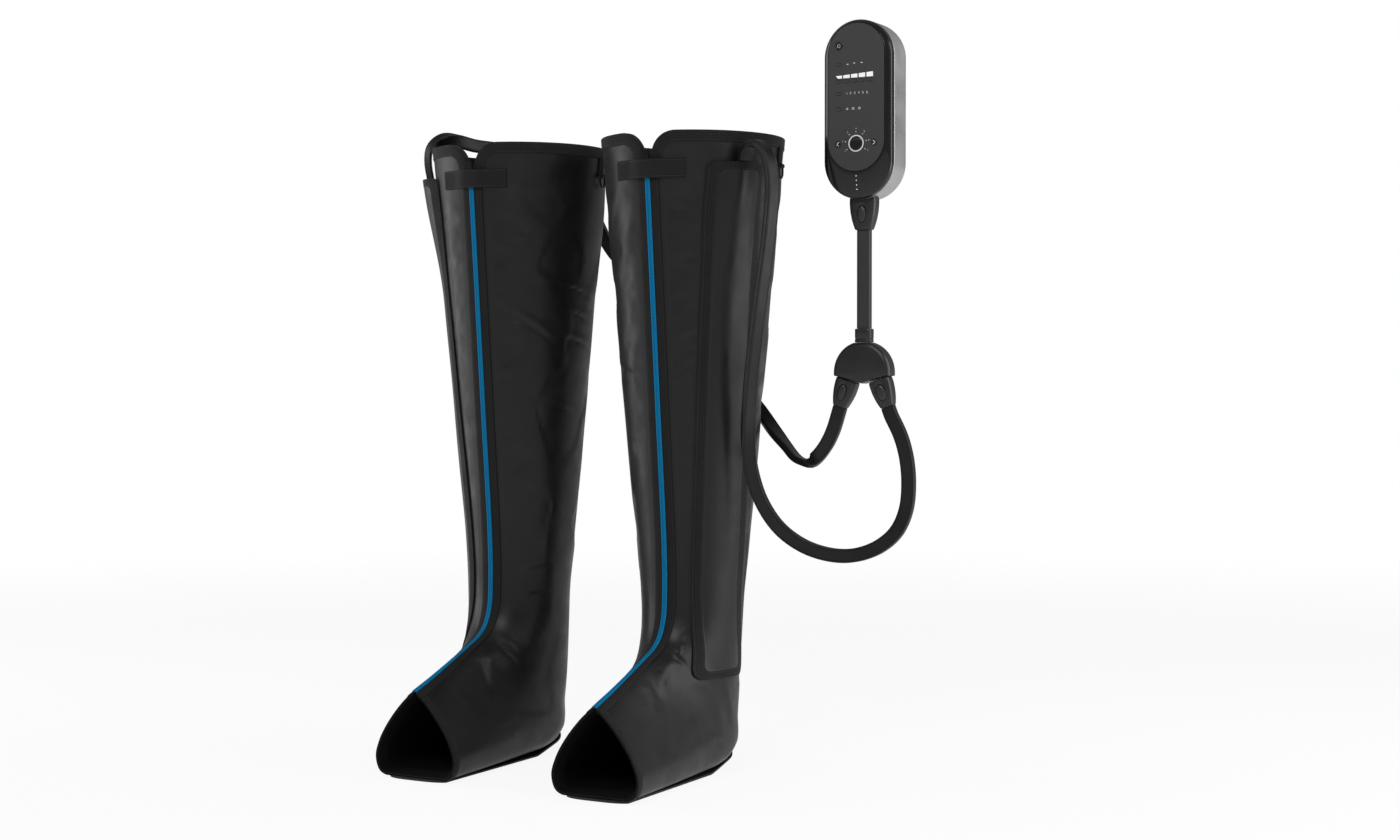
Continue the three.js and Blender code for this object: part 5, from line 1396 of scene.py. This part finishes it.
def add_strap(name, side):
    arcs = np.linspace(-STRAP_REACH, STRAP_REACH, 61)
    arc, height = np.meshgrid(arcs, np.linspace(STRAP_TOP, STRAP_BOTTOM, 15))
    rise = lambda place: lerp(STRAP_RISE, STRAP_LAY, smoothstep(np.abs(place), 7, 30))
    low = rise(arc)
    high = low + 1.1 + 0.4 * smoothstep(np.minimum(STRAP_TOP - height, height - STRAP_BOTTOM), 0, 0.9)
    piece = boot_sheet(f"{name}_strap_band", side, *row_at_arc(arc, height), high, low, [MESH], points_of(arc, height))
    stand_for(piece, f"{name}_closure_strap")
    for k, level in enumerate((STRAP_TOP - 2.0, STRAP_BOTTOM + 2.0)):
        stitches(f"{name}_strap_stitches_{k}", side, *row_at_arc(arcs[1:-1], level), rise(arcs[1:-1]) + 1.48,
                 f"{name}_closure_strap")


def sleeve_grid():
    def spread(length, band):
        near = np.concatenate([np.linspace(0, band - 0.5, 12), np.linspace(band, band + 9, 10)])
        middle = np.linspace(band + 10, length - band - 10, int((length - 2 * band) / 7))
        return np.concatenate([near, middle, length - near[::-1]])
    across, down = spread(SLEEVE_WIDTH, SLEEVE_BORDER), spread(SLEEVE_LENGTH, SLEEVE_HEM)
    inset = np.minimum(across, SLEEVE_WIDTH - across)

    def cut(corner):
        return corner - np.sqrt(np.maximum(corner**2 - np.maximum(corner - inset, 0) ** 2, 0))
    fall = smoothstep(down, 0, 60)[:, None]
    rise = smoothstep(SLEEVE_LENGTH - down, 0, 60)[:, None]
    depth = down[:, None] + cut(SLEEVE_CORNER)[None] * (1 - fall) - cut(SLEEVE_FOOT_CORNER)[None] * (1 - rise)
    return np.broadcast_to(across, depth.shape), depth


def sleeve_places(across, depth):
    start = np.interp(depth / SLEEVE_LENGTH, SLEEVE_EDGE[:, 0], SLEEVE_EDGE[:, 1])

    def share_at(row):
        return start + across / girth(row)
    row = find_row(lambda test: boot_points(test, share_at(test))[..., 2] > SLEEVE_TOP - depth, depth.shape)
    flat = smoothstep(depth, 0, SLEEVE_FLARE)
    rise = lerp(SLEEVE_MOUTH_RISE, SLEEVE_FLAT_RISE, flat) * np.sin(math.pi * across / SLEEVE_WIDTH)
    return row, share_at(row), 0.8 + rise


def outside_field(across, depth):
    """How far a point lies outside the sleeve's middle field, which has rounded corners"""
    reach = SLEEVE_FIELD_CORNER
    x = np.abs(across - SLEEVE_WIDTH / 2) - (SLEEVE_WIDTH / 2 - SLEEVE_BORDER - reach)
    y = np.abs(depth - SLEEVE_LENGTH / 2) - (SLEEVE_LENGTH / 2 - SLEEVE_HEM - reach)
    return np.hypot(np.maximum(x, 0), np.maximum(y, 0)) + np.minimum(np.maximum(x, y), 0) - reach


def add_sleeve(name, side):
    across, depth = sleeve_grid()
    row, share, stand = sleeve_places(across, depth)
    outside = outside_field(across, depth)
    ripple = 0.35 * np.sin(depth / 31 + across / 17) * np.sin(across / SLEEVE_WIDTH * math.pi) ** 2
    high = stand + SLEEVE_THICKNESS - 0.4 + 0.4 * smoothstep(outside, -0.7, 0.7) + ripple
    kinds = (outside[:-1, :-1] + outside[1:, 1:] + outside[1:, :-1] + outside[:-1, 1:]) / 4 > 0
    piece = boot_sheet(f"{name}_sleeve_pocket", side, row, share, high, stand + ripple * 0.5, [FABRIC, MESH],
                       points_of(across, depth), kinds.astype(int))
    stand_for(piece, f"{name}_hose_sleeve")

    def sew(kind, across, depth):
        row, share, stand = sleeve_places(*np.broadcast_arrays(across, depth))
        stitches(f"{name}_sleeve_{kind}", side, row, share, stand + SLEEVE_THICKNESS - 0.02, f"{name}_hose_sleeve")

    for k, (place, end) in enumerate(((2.2, 9), (SLEEVE_BORDER - 1.8, 12))):
        for edge, at in enumerate((place, SLEEVE_WIDTH - place)):
            sew(f"stitches_{k}{edge}", at, np.linspace(end, SLEEVE_LENGTH - end, 200))
    for k, level in enumerate((SLEEVE_HEM - 1.6, SLEEVE_LENGTH - SLEEVE_HEM + 1.6, SLEEVE_LENGTH - 2.2)):
        sew(f"cross_stitches_{k}", np.linspace(15, SLEEVE_WIDTH - 15, 50), level)


def add_sole(name, side):
    along = np.concatenate([
        np.linspace(-SOLE_TOE_REACH, SOLE_HEEL_CENTRE, 60),
        SOLE_HEEL_CENTRE + SOLE_HEEL_RADIUS * np.sin(np.linspace(0, 0.98, 22)[1:] * math.pi / 2),
    ])[:, None]
    ease = np.clip((along + SOLE_TOE_REACH) / (SOLE_HEEL_CENTRE + SOLE_TOE_REACH), 0, 1)
    beyond = np.maximum(along - SOLE_HEEL_CENTRE, 0)
    half = np.where(beyond > 0, np.sqrt(np.maximum(SOLE_HEEL_RADIUS**2 - beyond**2, 0)),
                    lerp(SOLE_TOE_HALF_WIDTH, SOLE_HEEL_RADIUS, ease))
    across = np.sin(np.linspace(-1, 1, 31) * math.pi / 2)[None]
    low = heel_lift(along, across)
    x = BOOT_SPACING / 2 + across * half
    bow = SOLE_TOE_BOW * np.abs(across) ** 4
    y = along + bow * (1 - smoothstep(along, -SOLE_TOE_REACH, 40 - SOLE_TOE_REACH))
    round_off = 0.35 * smoothstep(np.abs(across), 0.97, 1)
    top, bottom = (points_of(x * side, y, z) for z in (low + SOLE_THICKNESS - round_off, low + round_off))
    stand_for(slab(f"{name}_sole_plate", top, bottom, [SOLE], points_of(x, y)), f"{name}_sole")


RING_SHARE = 0.278
RING_BAR_HEIGHT = 783
RING_WIRE = 1.2
RING_HALF_WIDTH = 7.6
RING_DROP = 16
TAB_EYE = 3.4
RING_BOW_SHARES = [
    [-0.86, 0], [-0.72, 0], [0.72, 0], [0.86, 0], [1, -0.3], [0.78, -0.78], [0, -1], [-0.78, -0.78], [-1, -0.3],
]


def surface_frame(side, share, height):
    """Origin and axes on the boot: X round it, Y inwards, Z up along the wall"""
    row = row_at(np.array([share]), np.array([height]))
    place = lambda at, stand: on_side(boot_points(at, np.array([share]), stand), side)[0]
    origin = place(row, 0.0)
    up = unit(place(row / 2, 0.0) - origin)
    out = place(row, 1.0) - origin
    out[2] = 0
    out = unit(out - np.dot(out, up) * up)
    return origin, np.stack([np.cross(up, out), -out, up])


def add_ring(name, side):
    origin, axes = surface_frame(side, RING_SHARE if side > 0 else 1 - RING_SHARE, RING_BAR_HEIGHT)
    bow = np.array([[x * RING_HALF_WIDTH, 0, z * RING_DROP] for x, z in RING_BOW_SHARES])
    line = smooth_line(bow, even_places(bow, np.arange(72) / 72, True), True)
    across = np.array([0.0, 1.0, 0.0])
    inward = np.cross(unit(np.roll(line, -1, axis=0) - np.roll(line, 1, axis=0)), across)
    angle = np.linspace(0, 2 * math.pi, 14, endpoint=False)[:, None]
    rings = line[:, None] + RING_WIRE * (np.cos(angle) * across + np.sin(angle) * inward[:, None])
    hang = -math.atan((RIM_RADIUS - ANKLE_RADIUS) / (BOOT_HEIGHT - ANKLE_HEIGHT))
    cos, sin = math.cos(hang), math.sin(hang)
    x, y, z = np.moveaxis(rings, -1, 0)
    rings = points_of(x, y * cos - z * sin - (0.8 + TAB_EYE), y * sin + z * cos)
    piece = tube(f"{name}_ring_bow", origin + rings @ axes, [METAL], closed=True)
    stand_for(piece, f"{name}_d_ring")


def add_boot(name, side):
    for add_piece in (add_skin, add_rim_binding, add_toe_binding, add_bladder, add_zip, add_strap, add_sleeve,
                      add_sole, add_ring):
        add_piece(name, side)


# The hoses and what is on them
def add_hoses():
    pump_plug = add_plug("pump_plug", PUMP_PLUG_HALF_WIDTH, PUMP_PLUG_LENGTH, (PUMP_X, 0, plug_top), 0.0, True)
    collar = add_collar()
    halves = [add_splitter_half("splitter_front", -1), add_splitter_half("splitter_back", 1)]
    heights = plug_top - PUMP_PLUG_LENGTH - CLEARANCE, collar_bottom + COLLAR[2] + CLEARANCE
    trunk = np.array([[PUMP_X, 0, height] for height in heights])
    across = [[0, (1, 0, 0)], [1, (1, 0, 0)]]
    # The trunk takes the lighter copy of the hose rubber: painted light
    add_hose("trunk_hose", trunk, across, 24, LIT_HOSE)
    for name, side, route, guides in (("right", 1, RIGHT_ROUTE, RIGHT_GUIDES), ("left", -1, LEFT_ROUTE, LEFT_GUIDES)):
        seat = np.array([PUMP_X + side * BRANCH_SEAT_X, 0, branch_height])
        angle = -side * BRANCH_ANGLE
        pieces = add_plug(f"{name}_branch_plug", BRANCH_PLUG_HALF_WIDTH, BRANCH_PLUG_LENGTH, seat, angle)
        down = np.array([side * math.sin(BRANCH_ANGLE), 0, -math.cos(BRANCH_ANGLE)])
        start = seat + down * (BRANCH_PLUG_LENGTH + CLEARANCE)
        points = np.array([start, start + down * STRAIGHT_END, *route], float)
        add_hose(f"{name}_hose", points, guides, 260)


add_hoses()
add_boot("right", 1)
add_boot("left", -1)
add_pump()


# Floor, sky and lamps
FLOOR_REACH = 30000
FLOOR_MIRRORED = 0.5


def seen_share(tree, mirrored=0.0):
    """1 for rays from the camera or through glass, and the given share for those that a gloss mirrors"""
    path = add(tree, "ShaderNodeLightPath").outputs
    seen = math_node(tree, "MAXIMUM", path["Is Camera Ray"], path["Is Transmission Ray"])
    return math_node(tree, "MAXIMUM", seen, math_node(tree, "MULTIPLY", path["Is Glossy Ray"], mirrored))


def add_stage():
    material = bpy.data.materials.new("studio_floor")
    tree = cleared_tree(material)
    place = add(tree, "ShaderNodeTexCoord").outputs["Object"]
    grain = add(tree, "ShaderNodeTexNoise", {"Vector": place, "Scale": 40, "Detail": 2}).outputs[0]
    diffuse = add(tree, "ShaderNodeBsdfDiffuse", {0: map_range(tree, grain, 0, 1, 0.93, 0.95)})
    white = add(tree, "ShaderNodeEmission", {"Strength": 1.0})
    away = add(tree, "ShaderNodeVectorMath", {0: place}, operation="LENGTH").outputs["Value"]
    pale = map_range(tree, away, 1.5, 4, 0.9, 1, interpolation_type="SMOOTHSTEP")
    share = math_node(tree, "MULTIPLY", seen_share(tree, FLOOR_MIRRORED), pale)
    shader = add(tree, "ShaderNodeMixShader", {0: share, 1: diffuse.outputs[0], 2: white.outputs[0]})
    put_out(tree, "ShaderNodeOutputMaterial", shader)
    corners = np.array([[x * FLOOR_REACH, y * FLOOR_REACH, -0.3] for x, y in ((-1, -1), (1, -1), (1, 1), (-1, 1))])
    new_object("floor", corners, [[0, 1, 2, 3]], [material])


def add_sky():
    world = bpy.data.worlds.new("studio")
    bpy.context.scene.world = world
    tree = cleared_tree(world)
    strength = map_range(tree, seen_share(tree), 0, 1, 0.25, 1.0)
    back = add(tree, "ShaderNodeBackground", {"Color": (1, 1, 1, 1), "Strength": strength})
    put_out(tree, "ShaderNodeOutputWorld", back)


def add_lamp(name, place, aim, size, watts):
    data = bpy.data.lights.new(name, "AREA")
    data.shape = "RECTANGLE"
    data.size, data.size_y = size[0] * MM, size[1] * MM
    data.energy = watts
    lamp = bpy.data.objects.new(name, data)
    lamp.location = metres(place)
    lamp.rotation_euler = (Vector(metres(aim)) - lamp.location).to_track_quat("-Z", "Y").to_euler()
    bpy.context.scene.collection.objects.link(lamp)


add_stage()
add_sky()
BOOT_MIDDLE = (0, 0, 450)
add_lamp("left", (-1930, -520, 900), BOOT_MIDDLE, (1200, 2000), 17)
add_lamp("right", (1980, 300, 900), BOOT_MIDDLE, (1700, 2000), 29)
add_lamp("high", (600, -2300, 2300), BOOT_MIDDLE, (1500, 1000), 30)

scene = bpy.context.scene
scene.view_settings.view_transform = "Standard"
